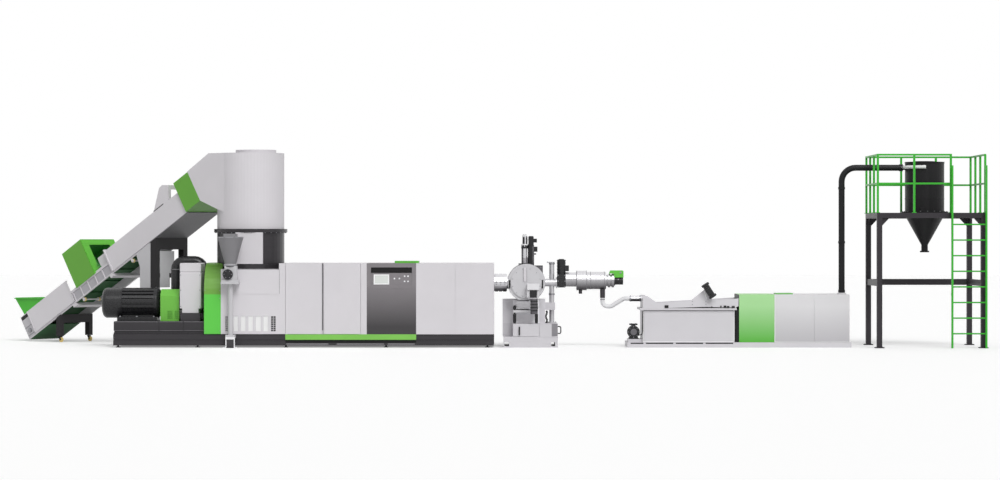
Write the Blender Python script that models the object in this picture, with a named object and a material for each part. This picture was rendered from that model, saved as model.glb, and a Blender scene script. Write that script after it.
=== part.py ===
# Plastic recycling line: infeed conveyor, compactor tower, extruder, melt filter, pelletizer, dewatering and silo.
# All sizes in metres. The line's own coordinates: X along the line, Y away from its front, Z up from the floor.
import math
import bpy
import bmesh
from mathutils import Matrix, Vector

for old in list(bpy.data.objects):
    bpy.data.objects.remove(old, do_unlink=True)

GAP = 0.0003
SCREW_Y = 0.75
SCREW_Z = 1.239
TOWER_X = -4.868
TOWER_Y = 0.95
TOWER_R = 0.6525
TOWER_WALL = 0.0225
LINE_BACK = 1.5
TURN = math.radians(-36.0)
SLOPE = math.radians(30.6)
SHEET = 0.015

MATERIALS = {
    "panel_white": ((0.69, 0.68, 0.70), 0.45, 0.0),
    "panel_green": ((0.15, 0.35, 0.07), 0.45, 0.0),
    "guard_green": ((0.20, 0.48, 0.10), 0.45, 0.0),
    "rail_green": ((0.05, 0.40, 0.03), 0.45, 0.0),
    "base_grey": ((0.07, 0.065, 0.07), 0.5, 0.0),
    "motor_dark": ((0.03, 0.03, 0.032), 0.5, 0.0),
    "dark_steel": ((0.045, 0.045, 0.05), 0.4, 0.3),
    "cabinet_grey": ((0.13, 0.125, 0.13), 0.45, 0.0),
    "light_grey": ((0.42, 0.42, 0.43), 0.45, 0.0),
    "stainless": ((0.55, 0.55, 0.56), 0.3, 1.0),
    "belt_green": ((0.03, 0.07, 0.04), 0.7, 0.0),
    "hose_white": ((0.65, 0.65, 0.66), 0.5, 0.0),
    "wheel_yellow": ((0.45, 0.36, 0.12), 0.6, 0.0),
}


def material(name):
    found = bpy.data.materials.get(name)
    if found:
        return found
    colour, roughness, metallic = MATERIALS[name]
    made = bpy.data.materials.new(name)
    made.use_nodes = True
    shader = made.node_tree.nodes["Principled BSDF"]
    shader.inputs["Base Color"].default_value = (*colour, 1.0)
    shader.inputs["Roughness"].default_value = roughness
    shader.inputs["Metallic"].default_value = metallic
    return made


def empty(name, parent=None, location=(0, 0, 0), rotation=(0, 0, 0)):
    made = bpy.data.objects.new(name, None)
    bpy.context.scene.collection.objects.link(made)
    made.parent = parent
    made.location = location
    made.rotation_euler = rotation
    return made


def finished(bm):
    bmesh.ops.recalc_face_normals(bm, faces=bm.faces)
    mesh = bpy.data.meshes.new("shape")
    bm.to_mesh(mesh)
    bm.free()
    return mesh


def shape(points, faces):
    bm = bmesh.new()
    corners = [bm.verts.new(point) for point in points]
    for face in faces:
        bm.faces.new([corners[index] for index in face])
    return finished(bm)


def box(x0, x1, y0, y1, z0, z1, bevel=0.0):
    bm = bmesh.new()
    size = Matrix.Diagonal((x1 - x0, y1 - y0, z1 - z0, 1.0))
    place = Matrix.Translation(((x0 + x1) / 2, (y0 + y1) / 2, (z0 + z1) / 2))
    bmesh.ops.create_cube(bm, size=1.0, matrix=place @ size)
    if bevel:
        bmesh.ops.bevel(bm, geom=bm.edges[:], offset=bevel, segments=1, affect="EDGES", clamp_overlap=True)
    return finished(bm)


def prism(outline, axis, low, high):
    """Outline points are (y, z) for axis x, (x, z) for axis y and (x, y) for axis z."""
    def place(a, b, along):
        return {"x": (along, a, b), "y": (a, along, b), "z": (a, b, along)}[axis]
    count = len(outline)
    points = [place(a, b, low) for a, b in outline] + [place(a, b, high) for a, b in outline]
    faces = [tuple(range(count)), tuple(range(2 * count - 1, count - 1, -1))]
    faces += [(i, (i + 1) % count, (i + 1) % count + count, i + count) for i in range(count)]
    return shape(points, faces)


def frame_along(direction):
    direction = Vector(direction).normalized()
    side = Vector((0, 0, 1)) if abs(direction.z) < 0.9 else Vector((0, 1, 0))
    first = direction.cross(side).normalized()
    return first, direction.cross(first).normalized()


def stacked(start, end, rings, segments=24, phase=0.5):
    """Round solid from start to end through rings of (share of the way, radius)."""
    start = Vector(start)
    end = Vector(end)
    first, second = frame_along(end - start)
    points = []
    for share, size in rings:
        centre = start.lerp(end, share)
        for i in range(segments):
            angle = 2 * math.pi * (i + phase) / segments
            points.append(centre + size * (math.cos(angle) * first + math.sin(angle) * second))
    last = (len(rings) - 1) * segments
    faces = [tuple(range(segments)), tuple(range(last + segments - 1, last - 1, -1))]
    for near in range(0, last, segments):
        for i in range(segments):
            j = (i + 1) % segments
            faces.append((near + i, near + j, near + segments + j, near + segments + i))
    return shape(points, faces)


def cylinder(start, end, radius, segments=24, phase=0.5):
    return stacked(start, end, ((0, radius), (1, radius)), segments, phase)


def turned(profile, centre, segments=48, axis="z", phase=0.5):
    """Ring from a closed (radius, height) outline that stays off its axis."""
    cx, cy, cz = centre
    points = []
    for i in range(segments):
        angle = 2 * math.pi * (i + phase) / segments
        for radius, height in profile:
            a = radius * math.cos(angle)
            b = radius * math.sin(angle)
            step = {"z": (a, b, height), "x": (height, a, b), "y": (a, height, b)}[axis]
            points.append((cx + step[0], cy + step[1], cz + step[2]))
    count = len(profile)
    faces = []
    for i in range(segments):
        for j in range(count):
            ahead = ((i + 1) % segments) * count
            follow = (j + 1) % count
            faces.append((i * count + j, i * count + follow, ahead + follow, ahead + j))
    return shape(points, faces)


def swept(path, radius, segments=16):
    """Solid round bar along a path of points, square to it at each one."""
    path = [Vector(point) for point in path]
    first, second = frame_along(path[1] - path[0])
    points = []
    for i, point in enumerate(path):
        before = (point - path[i - 1]).normalized() if i else (path[1] - path[0]).normalized()
        after = (path[i + 1] - point).normalized() if i < len(path) - 1 else before
        along = (before + after).normalized()
        first = (first - along * first.dot(along)).normalized()
        second = along.cross(first).normalized()
        for k in range(segments):
            angle = 2 * math.pi * (k + 0.5) / segments
            points.append(point + radius * (math.cos(angle) * first + math.sin(angle) * second))
    last = (len(path) - 1) * segments
    faces = [tuple(range(segments)), tuple(range(last + segments - 1, last - 1, -1))]
    for i in range(len(path) - 1):
        for k in range(segments):
            near = i * segments
            far = near + segments
            follow = (k + 1) % segments
            faces.append((near + k, near + follow, far + follow, far + k))
    return shape(points, faces)


def bent(corners, bend, steps=6):
    """Path through corner points with each inner corner rounded to the bend radius."""
    corners = [Vector(corner) for corner in corners]
    path = [corners[0]]
    for i in range(1, len(corners) - 1):
        back = (corners[i - 1] - corners[i]).normalized()
        ahead = (corners[i + 1] - corners[i]).normalized()
        half = back.angle(ahead) / 2
        reach = bend / math.tan(half)
        centre = corners[i] + (back + ahead).normalized() * bend / math.sin(half)
        start = corners[i] + back * reach - centre
        end = corners[i] + ahead * reach - centre
        for k in range(steps + 1):
            path.append(centre + start.slerp(end, k / steps).normalized() * bend)
    path.append(corners[-1])
    return path


def moved(mesh, location=(0, 0, 0), turn=0.0, axis="Z"):
    mesh.transform(Matrix.Translation(location) @ Matrix.Rotation(turn, 4, axis))
    return mesh


def boolean(base, tools, operation):
    scene = bpy.context.scene.collection
    holder = bpy.data.collections.new("tools")
    scene.children.link(holder)
    body = bpy.data.objects.new("body", base)
    scene.objects.link(body)
    for tool in tools:
        holder.objects.link(bpy.data.objects.new("tool", tool))
    change = body.modifiers.new("change", "BOOLEAN")
    change.operand_type = "COLLECTION"
    change.collection = holder
    change.operation = operation
    change.solver = "EXACT"
    result = bpy.data.meshes.new_from_object(body.evaluated_get(bpy.context.evaluated_depsgraph_get()))
    for tool in list(holder.objects):
        bpy.data.objects.remove(tool, do_unlink=True)
    bpy.data.objects.remove(body, do_unlink=True)
    bpy.data.collections.remove(holder)
    return result


def joined(base, *more):
    return boolean(base, more, "UNION")


def cut(base, *tools):
    return boolean(base, tools, "DIFFERENCE")


def piece(name, mesh, slot, parent, round_piece=False):
    mesh.name = name
    mesh.materials.clear()
    mesh.materials.append(material(slot))
    made = bpy.data.objects.new(name, mesh)
    bpy.context.scene.collection.objects.link(made)
    made.parent = parent
    if round_piece:
        mesh.shade_smooth()
        mesh.set_sharp_from_angle(angle=math.radians(35))
    return made


line = empty("line_datum")
tower = empty("tower_axis", line, (TOWER_X, TOWER_Y, 0))
run = empty("conveyor_axis", tower, (0, 0, 0), (0, 0, TURN))
deck = empty("conveyor_slope", run, (-1.121, 0, 2.620), (0, -SLOPE, 0))

# Conveyor: deck coordinates are up the slope, across and square to the deck.
NEAR = -0.60
FAR = 0.34
WALL = 0.02
WEB_NEAR = NEAR + WALL + GAP
WEB_FAR = FAR - WALL - GAP
TAIL = -5.02
TROUGH_LOW = -4.78
TROUGH_HIGH = -3.52
COVER_LOW = -2.30
PAN_LOW = -1.16
COLLAR_LONG = 0.43
COLLAR_NEAR = -0.64
COLLAR_FAR = 0.38
COLLAR_HIGH = 0.652
TROUGH_HIGH_EDGE = 0.485
COVER_HIGH = 0.455
BELT_LOW = 0.13
BELT_TOP = 0.25
BELT_THICK = 0.01
BELT_NEAR = -0.53
BELT_FAR = 0.27
BED_TOP = BELT_TOP - BELT_THICK - GAP
WHEEL_R = 0.05
FORK_TOP = 2 * WHEEL_R + 0.006
FORK_PLATE = 0.013
PORTAL_CASTER_Z = FORK_TOP + FORK_PLATE + 0.006


def deck_z(s, v=0.0):
    """Height of the deck plane moved by v, at a distance s down the run from the tower's axis."""
    return 2.620 - math.tan(SLOPE) * (s - 1.121) + v / math.cos(SLOPE)


def deck_point(u, v):
    """Run coordinates (x, z) of a point up the slope by u and square to the deck by v."""
    return (-1.121 + u * math.cos(SLOPE) - v * math.sin(SLOPE), 2.620 + u * math.sin(SLOPE) + v * math.cos(SLOPE))


def above_deck(v):
    """Cutter for everything above the plane v of the deck, in run coordinates."""
    return prism([(-8, deck_z(8, v)), (0, deck_z(0, v)), (0, 8), (-8, 8)], "y", -2, 2)


def both_sides(x0, x1, near, thick, z0, z1):
    """The same plate at the conveyor's near side and mirrored at its far side."""
    far = NEAR + FAR - near
    return [box(x0, x1, near, near + thick, z0, z1), box(x0, x1, far - thick, far, z0, z1)]


frame_parts = both_sides(TROUGH_LOW - 0.10, PAN_LOW - 0.02, WEB_NEAR, WALL, -0.03, BED_TOP)
frame_parts += both_sides(PAN_LOW - 0.10, 0.25, WEB_NEAR, WALL, 0.0303, BED_TOP)
frame_parts += both_sides(TAIL, TROUGH_LOW - GAP, WEB_NEAR, WALL, -0.03, TROUGH_HIGH_EDGE)
frame_parts += both_sides(-3.50, -2.32, NEAR, 0.035, 0.18, 0.20)
frame_parts += both_sides(-3.50, -2.32, NEAR, 0.035, -0.03, -0.012)
for step in range(6):
    rib = -3.48 + step * 0.229
    frame_parts += both_sides(rib, rib + 0.015, NEAR, 0.035, -0.02, 0.19)
frame_parts += [
    box(-4.85, 0.22, WEB_NEAR + 0.01, WEB_FAR - 0.01, BED_TOP - 0.015, BED_TOP),
    box(TAIL, TAIL + 0.02, WEB_NEAR + 0.01, WEB_FAR - 0.01, -0.03, TROUGH_HIGH_EDGE),
    box(TAIL + 0.01, -4.4, WEB_NEAR + 0.01, WEB_FAR - 0.01, -0.03, -0.015),
]
for along in (-3.60, -2.42):
    frame_parts.append(box(along, along + 0.09, NEAR, FAR, -0.09, -0.0297))
for along in (-3.30, -1.765):
    frame_parts.append(cylinder((along, WEB_NEAR, -0.075), (along, WEB_FAR, -0.075), 0.014, 8))
    frame_parts += both_sides(along - 0.02, along + 0.02, WEB_NEAR, WALL, -0.10, 0.0)
    for across in (-0.54, -0.13, 0.28):
        frame_parts.append(cylinder((along, across - 0.02, -0.075), (along, across + 0.02, -0.075), 0.035, 14))
piece("conveyor_frame", joined(*frame_parts), "base_grey", deck)

trough = both_sides(TROUGH_LOW, TROUGH_HIGH, NEAR, WALL, 0, TROUGH_HIGH_EDGE)
trough += both_sides(TROUGH_LOW, TROUGH_HIGH, NEAR, 0.045, TROUGH_HIGH_EDGE - 0.015, TROUGH_HIGH_EDGE)
trough.append(box(TROUGH_LOW, TROUGH_LOW + WALL, NEAR, FAR, BELT_TOP + 0.035, TROUGH_HIGH_EDGE))
piece("lower_trough", joined(*trough), "panel_white", deck)

cover = joined(box(COVER_LOW, -GAP, NEAR, FAR, 0, COVER_HIGH),
               box(COVER_LOW, COVER_LOW + 0.02, NEAR - 0.03, FAR + 0.03, 0, COVER_HIGH + 0.03))
cover = cut(cover, box(COVER_LOW - 0.1, 0.1, NEAR + WALL, FAR - WALL, -0.1, COVER_HIGH - WALL))
piece("upper_cover", cover, "panel_white", deck)


def belt_outline(inset):
    radius = (BELT_TOP - BELT_LOW) / 2 - inset
    middle = (BELT_TOP + BELT_LOW) / 2
    points = []
    for centre, first in ((-4.87, 90), (0.24, -90)):
        for k in range(9):
            angle = math.radians(first + 22.5 * k)
            points.append((centre + radius * math.cos(angle), middle + radius * math.sin(angle)))
    return points


belt = cut(prism(belt_outline(0), "y", BELT_NEAR, BELT_FAR),
           prism(belt_outline(BELT_THICK), "y", BELT_NEAR - 0.1, BELT_FAR + 0.1))
cleats = []
for step in range(11):
    along = -4.75 + step * 0.46
    cleats.append(box(along, along + 0.014, BELT_NEAR + 0.03, BELT_FAR - 0.03, BELT_TOP - 0.005, BELT_TOP + 0.022))
    cleats.append(box(along, along + 0.014, BELT_NEAR + 0.03, BELT_FAR - 0.03, BELT_LOW - 0.022, BELT_LOW + 0.005))
piece("conveyor_belt", joined(belt, *cleats), "belt_green", deck)

piece("conveyor_underpan", box(PAN_LOW, -GAP, NEAR, FAR, -0.015, -GAP), "base_grey", deck)

HOPPER_FOOT = TROUGH_HIGH_EDGE + GAP
hopper_back = [(-4.88, HOPPER_FOOT), (-4.94, 0.902), (-4.92, 0.902), (-4.86, HOPPER_FOOT)]
hopper_side = [(-4.88, HOPPER_FOOT), (-4.94, 0.902), (-4.216, HOPPER_FOOT)]
hopper_lip = [(-4.94, 0.902), (-4.252, 0.506), (-4.2595, 0.493), (-4.9475, 0.889)]
hopper = [prism(hopper_back, "y", -0.59, 0.33)]
for near, far in ((-0.59, -0.57), (0.31, 0.33)):
    hopper.append(prism(hopper_side, "y", near, far))
for near, far in ((-0.62, -0.57), (0.31, 0.36)):
    hopper.append(prism(hopper_lip, "y", near, far))
piece("feed_hopper", joined(*hopper), "panel_green", deck)

LOADER_LOW = -3.32
LOADER_HIGH = -2.73
LOADER_TOP = 0.99
LOADER_FOOT = 0.2003
loader = cut(box(LOADER_LOW, LOADER_HIGH, NEAR - 0.02, FAR + 0.02, LOADER_FOOT, LOADER_TOP),
             box(LOADER_LOW + SHEET, LOADER_HIGH - SHEET, NEAR - 0.005, FAR + 0.005, 0.1, LOADER_TOP - SHEET),
             box(LOADER_LOW - 0.1, LOADER_LOW + 0.1, NEAR + 0.02 - GAP, FAR - 0.02 + GAP, 0.1, 0.55),
             box(LOADER_HIGH - 0.1, LOADER_HIGH + 0.1, NEAR + 0.08, FAR - 0.08, 0.28, LOADER_TOP - 0.10),
             box(LOADER_HIGH - 0.1, LOADER_HIGH + 0.1, NEAR + 0.02 - GAP, FAR - 0.02 + GAP, 0.1, 0.50))
rims = both_sides(LOADER_LOW, LOADER_HIGH, NEAR - 0.02, 0.0397, LOADER_FOOT, 0.23)
piece("loading_hood", joined(loader, *rims), "panel_green", deck)

tunnel = prism([(-0.76, COVER_HIGH + GAP), (-0.40, 0.785), (-0.30, 0.797), (-0.16, 0.710),
                (-0.31, COVER_HIGH + GAP)], "y", NEAR, FAR)
tunnel_hole = prism([(-0.9, 0.40), (-0.9, 1.055), (0, 0.523), (0, 0.40)], "y", NEAR + 0.08, FAR - 0.08)
piece("belt_tunnel", cut(tunnel, tunnel_hole), "panel_white", deck)

collar = cut(box(0, COLLAR_LONG, COLLAR_NEAR, COLLAR_FAR, 0, COLLAR_HIGH),
             box(0.02, 1, COLLAR_NEAR + WALL, COLLAR_FAR - WALL, WALL, COLLAR_HIGH - WALL),
             box(-1, 0.1, NEAR + 0.01, FAR - 0.01, WALL, COVER_HIGH - WALL))
piece("infeed_collar", collar, "panel_green", deck)

# Portals and hood: run coordinates, x towards the tower from below, so every x is negative.
LOWER_S = 4.60
portal = cut(joined(box(-LOWER_S - 0.06, -LOWER_S + 0.06, NEAR, NEAR + 0.10, PORTAL_CASTER_Z, 0.45),
                    box(-LOWER_S - 0.06, -LOWER_S + 0.06, FAR - 0.10, FAR, PORTAL_CASTER_Z, 0.45),
                    box(-LOWER_S - 0.06, -LOWER_S + 0.06, NEAR, FAR, 0.39, 0.75)),
             above_deck(-0.03 - GAP))
piece("lower_portal", portal, "base_grey", run)

UPPER_S = 2.02
COLUMN_LOW = -2.37
upper = [box(-UPPER_S - 0.05, -UPPER_S + 0.05, NEAR + 0.01, FAR - 0.01, 1.32, 1.41),
         box(-UPPER_S - 0.07, -UPPER_S + 0.07, NEAR, FAR, 1.88, 2.4),
         box(COLUMN_LOW - 0.03, -UPPER_S, NEAR - 0.04, NEAR + 0.16, 0, 0.02)]
for near in (NEAR, FAR - 0.12):
    upper.append(box(-UPPER_S - 0.07, -UPPER_S + 0.07, near, near + 0.12, 0, 1.95))
    upper.append(box(-UPPER_S - 0.11, -UPPER_S + 0.11, near - 0.04, near + 0.16, 0, 0.02))
piece("upper_portal", cut(joined(*upper), above_deck(-0.015 - GAP)), "base_grey", run)

box_parts = [box(-UPPER_S - 0.07, -UPPER_S + 0.07, NEAR + 0.12 + GAP, -0.05, 1.41 + GAP, 1.85, 0.006),
             box(-UPPER_S + 0.05 + GAP, -UPPER_S + 0.068, NEAR + 0.14, -0.20, 1.14, 1.80),
             box(-UPPER_S - 0.04, -UPPER_S + 0.068, NEAR + 0.12 + GAP, -0.18, 1.13, 1.32 - GAP)]
# Its cable column stands beside the near leg and widens under the frame.
COLUMN_HIGH = -UPPER_S - 0.07 - GAP
box_parts += [cut(prism([(COLUMN_LOW, 0.02 + GAP), (COLUMN_LOW, 1.53), (COLUMN_LOW - 0.09, 1.75),
                         (COLUMN_LOW - 0.09, 2.3), (COLUMN_HIGH, 2.3), (COLUMN_HIGH, 0.02 + GAP)],
                        "y", NEAR, NEAR + 0.14), above_deck(-0.03 - GAP)),
              box(COLUMN_HIGH - 0.06, COLUMN_HIGH + 0.04, NEAR + 0.12 + GAP, NEAR + 0.14, 1.45, 1.80)]
piece("conveyor_control_box", joined(*box_parts), "light_grey", run)

TRAIL = 0.035
for side, across in (("near", NEAR + 0.05), ("far", FAR - 0.05)):
    swivel = empty("caster_swivel_" + side, run, (-LOWER_S, across, 0))
    axle = empty("caster_axle_" + side, swivel, (TRAIL, 0, WHEEL_R))
    fork = [cylinder((0, 0, FORK_TOP), (0, 0, FORK_TOP + FORK_PLATE), 0.042, 14),
            cylinder((0, 0, FORK_TOP + 0.004), (0, 0, PORTAL_CASTER_Z - GAP), 0.014, 10),
            cylinder((TRAIL, -0.028, WHEEL_R), (TRAIL, 0.028, WHEEL_R), 0.006, 10)]
    for cheek in (-0.0285, 0.0225):
        fork.append(prism([(-0.03, FORK_TOP + 0.006), (0.035, FORK_TOP + 0.006), (TRAIL + 0.012, WHEEL_R - 0.008),
                           (TRAIL - 0.012, WHEEL_R - 0.008)], "y", cheek, cheek + 0.006))
    piece("caster_fork_" + side, joined(*fork), "dark_steel", swivel)
    wheel = turned([(0.0063, -0.0175), (WHEEL_R - 0.003, -0.0175), (WHEEL_R, -0.013), (WHEEL_R, 0.013),
                    (WHEEL_R - 0.003, 0.0175), (0.0063, 0.0175)], (0, 0, 0), 24, "y", 0.0)
    piece("caster_wheel_" + side, wheel, "wheel_yellow", axle, True)

HOOD_TOP = 3.76
HOOD_FACE = COLLAR_LONG + GAP
HOOD_OUTER = [(-0.534, HOOD_TOP), deck_point(HOOD_FACE, COLLAR_HIGH + 0.01), deck_point(HOOD_FACE, 0),
              (-0.344, 2.684), (0, 2.56), (0, HOOD_TOP)]
HOOD_INNER = [(-0.54, HOOD_TOP - WALL), deck_point(HOOD_FACE + 0.02, COLLAR_HIGH - WALL),
              deck_point(HOOD_FACE - 0.1, COLLAR_HIGH - WALL), deck_point(HOOD_FACE - 0.1, WALL),
              deck_point(HOOD_FACE + 0.02, WALL), (-0.344, 2.706), (0.3, 2.46), (0.3, HOOD_TOP - WALL)]
hood = cut(prism(HOOD_OUTER, "y", COLLAR_NEAR, COLLAR_FAR),
           prism(HOOD_INNER, "y", COLLAR_NEAR + WALL, COLLAR_FAR - WALL),
           cylinder((0, 0, 2), (0, 0, 4), TOWER_R + GAP, 64))
piece("tower_hood", hood, "panel_white", run)

# Compactor tower: coordinates from the tower's own axis.
DRUM_R = 0.655
DRUM_LOW = 1.5093
DRUM_HIGH = 2.217
FLANGE_TOP = 2.284
RING_R = 0.70
FLANGE_R = 0.713
CABINET_TOP = 1.509

drum = turned([(0.60, DRUM_LOW), (RING_R, DRUM_LOW), (RING_R, 1.59), (DRUM_R, 1.59), (DRUM_R, DRUM_HIGH),
               (FLANGE_R, DRUM_HIGH), (FLANGE_R, FLANGE_TOP), (0.60, FLANGE_TOP)], (0, 0, 0), 48)
piece("compactor_drum", drum, "dark_steel", tower, True)

shell = turned([(TOWER_R - TOWER_WALL, FLANGE_TOP + GAP), (TOWER_R, FLANGE_TOP + GAP), (TOWER_R, 3.74),
                (TOWER_R - TOWER_WALL, 3.74)], (0, 0, 0), 64)
shell = cut(shell, box(-0.9, -0.2, -0.50, 0.24, 2.93, 3.62))
piece("tower_shell", shell, "panel_white", run, True)

CAP_X = 0.10 * math.cos(TURN)
CAP_Y = -0.10 * math.sin(TURN)
lid = joined(cylinder((0, 0, 3.74 + GAP), (0, 0, 3.761), TOWER_R, 64),
             cylinder((CAP_X, CAP_Y, 3.75), (CAP_X, CAP_Y, 3.825), 0.395, 40))
piece("tower_lid", lid, "light_grey", run, True)

door = cut(box(-0.243, 0.286, -0.69, -0.40, 1.607, DRUM_HIGH - GAP),
           cylinder((0, 0, 1), (0, 0, 3), DRUM_R + GAP, 48))
piece("drum_door", door, "panel_white", tower)

# Base frame with its feet and the drive's plinth.
BASE_LEFT = -7.442
BASE_RIGHT = -0.115
BASE_TOP = 0.255
PLINTH_TOP = 0.50
BASE_BACK = 1.45
base = [box(BASE_LEFT, BASE_RIGHT, 0.02, BASE_BACK, 0.04, 0.14),
        box(BASE_LEFT + 0.01, BASE_RIGHT - 0.01, 0.03, BASE_BACK - 0.01, 0.13, 0.16),
        box(BASE_LEFT, BASE_RIGHT, 0.02, BASE_BACK, 0.15, BASE_TOP),
        box(-5.69, -4.14, 0.5, 1.68, 0.04, BASE_TOP)]
for left, right in ((BASE_LEFT, -6.577), (-6.565, -6.106), (-6.094, -5.70)):
    base.append(box(left, right, 0.10, 1.40, 0.32, PLINTH_TOP))
base.append(box(BASE_LEFT + 0.01, -5.71, 0.11, 1.39, 0.25, PLINTH_TOP - 0.01))
base.append(box(BASE_LEFT, -5.70, 0.10, 1.40, 0.245, 0.29))
for foot in (-7.355, -5.823, -4.124, -2.194, -0.242):
    for across in (0.10, BASE_BACK - 0.10):
        base.append(cylinder((foot, across, 0), (foot, across, 0.015), 0.05, 12))
        base.append(cylinder((foot, across, 0.01), (foot, across, 0.05), 0.02, 8))
piece("base_frame", joined(*base), "base_grey", line)

MOTOR_Z = 0.847
MOTOR_R = 0.293


def finned(radius, root, count):
    points = []
    for i in range(count):
        for share, size in ((0.0, root), (0.28, root), (0.36, radius), (0.92, radius)):
            angle = 2 * math.pi * (i + share) / count
            points.append((SCREW_Y + size * math.cos(angle), MOTOR_Z + size * math.sin(angle)))
    return points


motor = [prism(finned(MOTOR_R, MOTOR_R - 0.03, 20), "x", -7.36, -6.70),
         stacked((-7.728, SCREW_Y, MOTOR_Z), (-7.335, SCREW_Y, MOTOR_Z),
                 ((0, MOTOR_R - 0.085), (0.035, MOTOR_R - 0.045), (0.10, MOTOR_R - 0.015), (0.19, MOTOR_R),
                  (1, MOTOR_R)), 32),
         stacked((-6.72, SCREW_Y, MOTOR_Z), (-6.597, SCREW_Y, MOTOR_Z),
                 ((0, MOTOR_R + 0.01), (0.5, MOTOR_R + 0.01), (0.8, MOTOR_R - 0.02), (1, 0.22)), 32),
         box(-7.42, -6.65, SCREW_Y - 0.30, SCREW_Y + 0.30, PLINTH_TOP + GAP, 0.577),
         box(-7.35, -6.71, SCREW_Y - 0.15, SCREW_Y + 0.15, 0.56, MOTOR_Z - 0.2),
         box(-7.25, -6.88, SCREW_Y + 0.20, SCREW_Y + 0.39, MOTOR_Z - 0.10, MOTOR_Z + 0.12, 0.01)]
piece("drive_motor", joined(*motor), "motor_dark", line)

GUARD_LEFT = -6.58
GUARD_RIGHT = -6.216
guard_side = [(0.45, PLINTH_TOP + GAP), (0.45, 0.98), (0.58, 1.111), (0.92, 1.111), (1.05, 0.98),
              (1.05, PLINTH_TOP + GAP)]
guard = prism(guard_side, "x", GUARD_LEFT, GUARD_RIGHT)
grilles = []
for left, right in ((-6.444, -6.346), (-6.302, -6.206)):
    for k in range(5):
        low = 0.545 + 0.033 * k
        grilles.append(box(left, min(right, GUARD_RIGHT - 0.012), 0.40, 0.47, low, low + 0.016))
piece("coupling_guard", cut(guard, *grilles), "guard_green", line)

GEAR_LEFT = -6.19
GEAR_RIGHT = -5.777
gear = [box(GEAR_LEFT, GEAR_RIGHT, 0.30, 1.15, 1.45, 1.622, 0.012),
        box(GEAR_LEFT + 0.012, GEAR_RIGHT - 0.012, 0.312, 1.138, 1.435, 1.46),
        box(GEAR_LEFT, GEAR_RIGHT, 0.30, 1.15, 0.74, 1.445, 0.012),
        box(GEAR_LEFT + 0.05, GEAR_RIGHT - 0.05, 0.30, 1.15, 0.65, 0.80),
        box(GEAR_LEFT + 0.02, GEAR_RIGHT - 0.02, 0.27, 1.18, PLINTH_TOP + GAP, 0.66),
        cylinder((GUARD_RIGHT + 0.001, SCREW_Y, MOTOR_Z), (GEAR_LEFT + 0.02, SCREW_Y, MOTOR_Z), 0.14, 32)]
piece("gearbox", joined(*gear), "light_grey", line)

BAND_LEFT = -5.692
BAND_RIGHT = -5.369 - GAP
BAND_TOP = 1.627
BAND_LOW = BASE_TOP + 0.008
band_side = [(0.0, BAND_LOW), (0.0, 1.03)]
for k in range(1, 10):
    angle = math.radians(180 - 10 * k)
    band_side.append((0.62 + 0.62 * math.cos(angle), 1.03 + (BAND_TOP - 1.03) * math.sin(angle)))
band_side += [(LINE_BACK, BAND_TOP), (LINE_BACK, BAND_LOW)]
ring_room = cylinder((TOWER_X, TOWER_Y, CABINET_TOP), (TOWER_X, TOWER_Y, 2.5), RING_R + GAP, 48)
band = joined(cut(prism(band_side, "x", BAND_LEFT, BAND_RIGHT), ring_room),
              box(BAND_LEFT + 0.01, BAND_RIGHT - 0.01, 0.05, BASE_BACK, BASE_TOP + GAP, BAND_LOW + 0.01))
piece("band_housing", band, "panel_white", line)

duct_path = bent([(-6.36, 1.28, PLINTH_TOP + GAP), (-6.36, 1.28, 1.655), (-5.83, 1.28, 1.655),
                  (-5.83, 1.28, PLINTH_TOP + GAP)], 0.16, 5)
piece("air_duct", swept(duct_path, 0.10, 20), "motor_dark", line, True)

# Compactor cabinet under the tower.
CAB_LEFT = -5.369
CAB_RIGHT = -4.24
CAB_BACK = 1.7
CAB_LOW = BASE_TOP + 0.0053
cabinet = joined(box(CAB_LEFT, CAB_RIGHT, 0, CAB_BACK, CAB_LOW, 1.024),
                 box(CAB_LEFT + 0.006, CAB_RIGHT - 0.006, 0.006, CAB_BACK - 0.006, 1.0, 1.04),
                 box(CAB_LEFT, CAB_RIGHT, 0, CAB_BACK, 1.030, CABINET_TOP),
                 box(CAB_RIGHT - 0.01, -4.129 - GAP, 0, LINE_BACK, CAB_LOW, 1.619),
                 box(CAB_LEFT + 0.02, CAB_RIGHT - 0.02, 0.04, 1.40, BASE_TOP + GAP, CAB_LOW + 0.01))
vents = [cylinder((TOWER_X, TOWER_Y, CABINET_TOP), (TOWER_X, TOWER_Y, 2.5), RING_R + GAP, 48)]
for left, right in ((-5.280, -5.240), (-5.125, -5.04), (-4.985, -4.895), (-4.842, -4.752), (-4.70, -4.60),
                    (-4.552, -4.462), (-4.404, -4.314)):
    vents.append(box(left, right, -0.1, 0.02, 0.313, 0.602))
piece("compactor_cabinet", cut(cabinet, *vents), "panel_white", line)

# Dosing funnel on its valve and post, in front of the cabinet.
DOSE_X = -5.170
DOSE_Y = -0.15
funnel = turned([(0.097, 1.61 + GAP), (0.109, 1.61 + GAP), (0.244, 2.10), (0.244, 2.13), (0.232, 2.13),
                 (0.232, 2.103)], (DOSE_X, DOSE_Y, 0), 32)
lug = cut(box(DOSE_X - 0.115, DOSE_X + 0.115, DOSE_Y - 0.238, DOSE_Y + 0.238, 2.115, 2.19),
          box(DOSE_X - 0.10, DOSE_X + 0.10, DOSE_Y - 0.222, DOSE_Y + 0.222, 2.0, 2.3))
piece("dosing_funnel", joined(funnel, lug), "light_grey", line)

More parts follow.
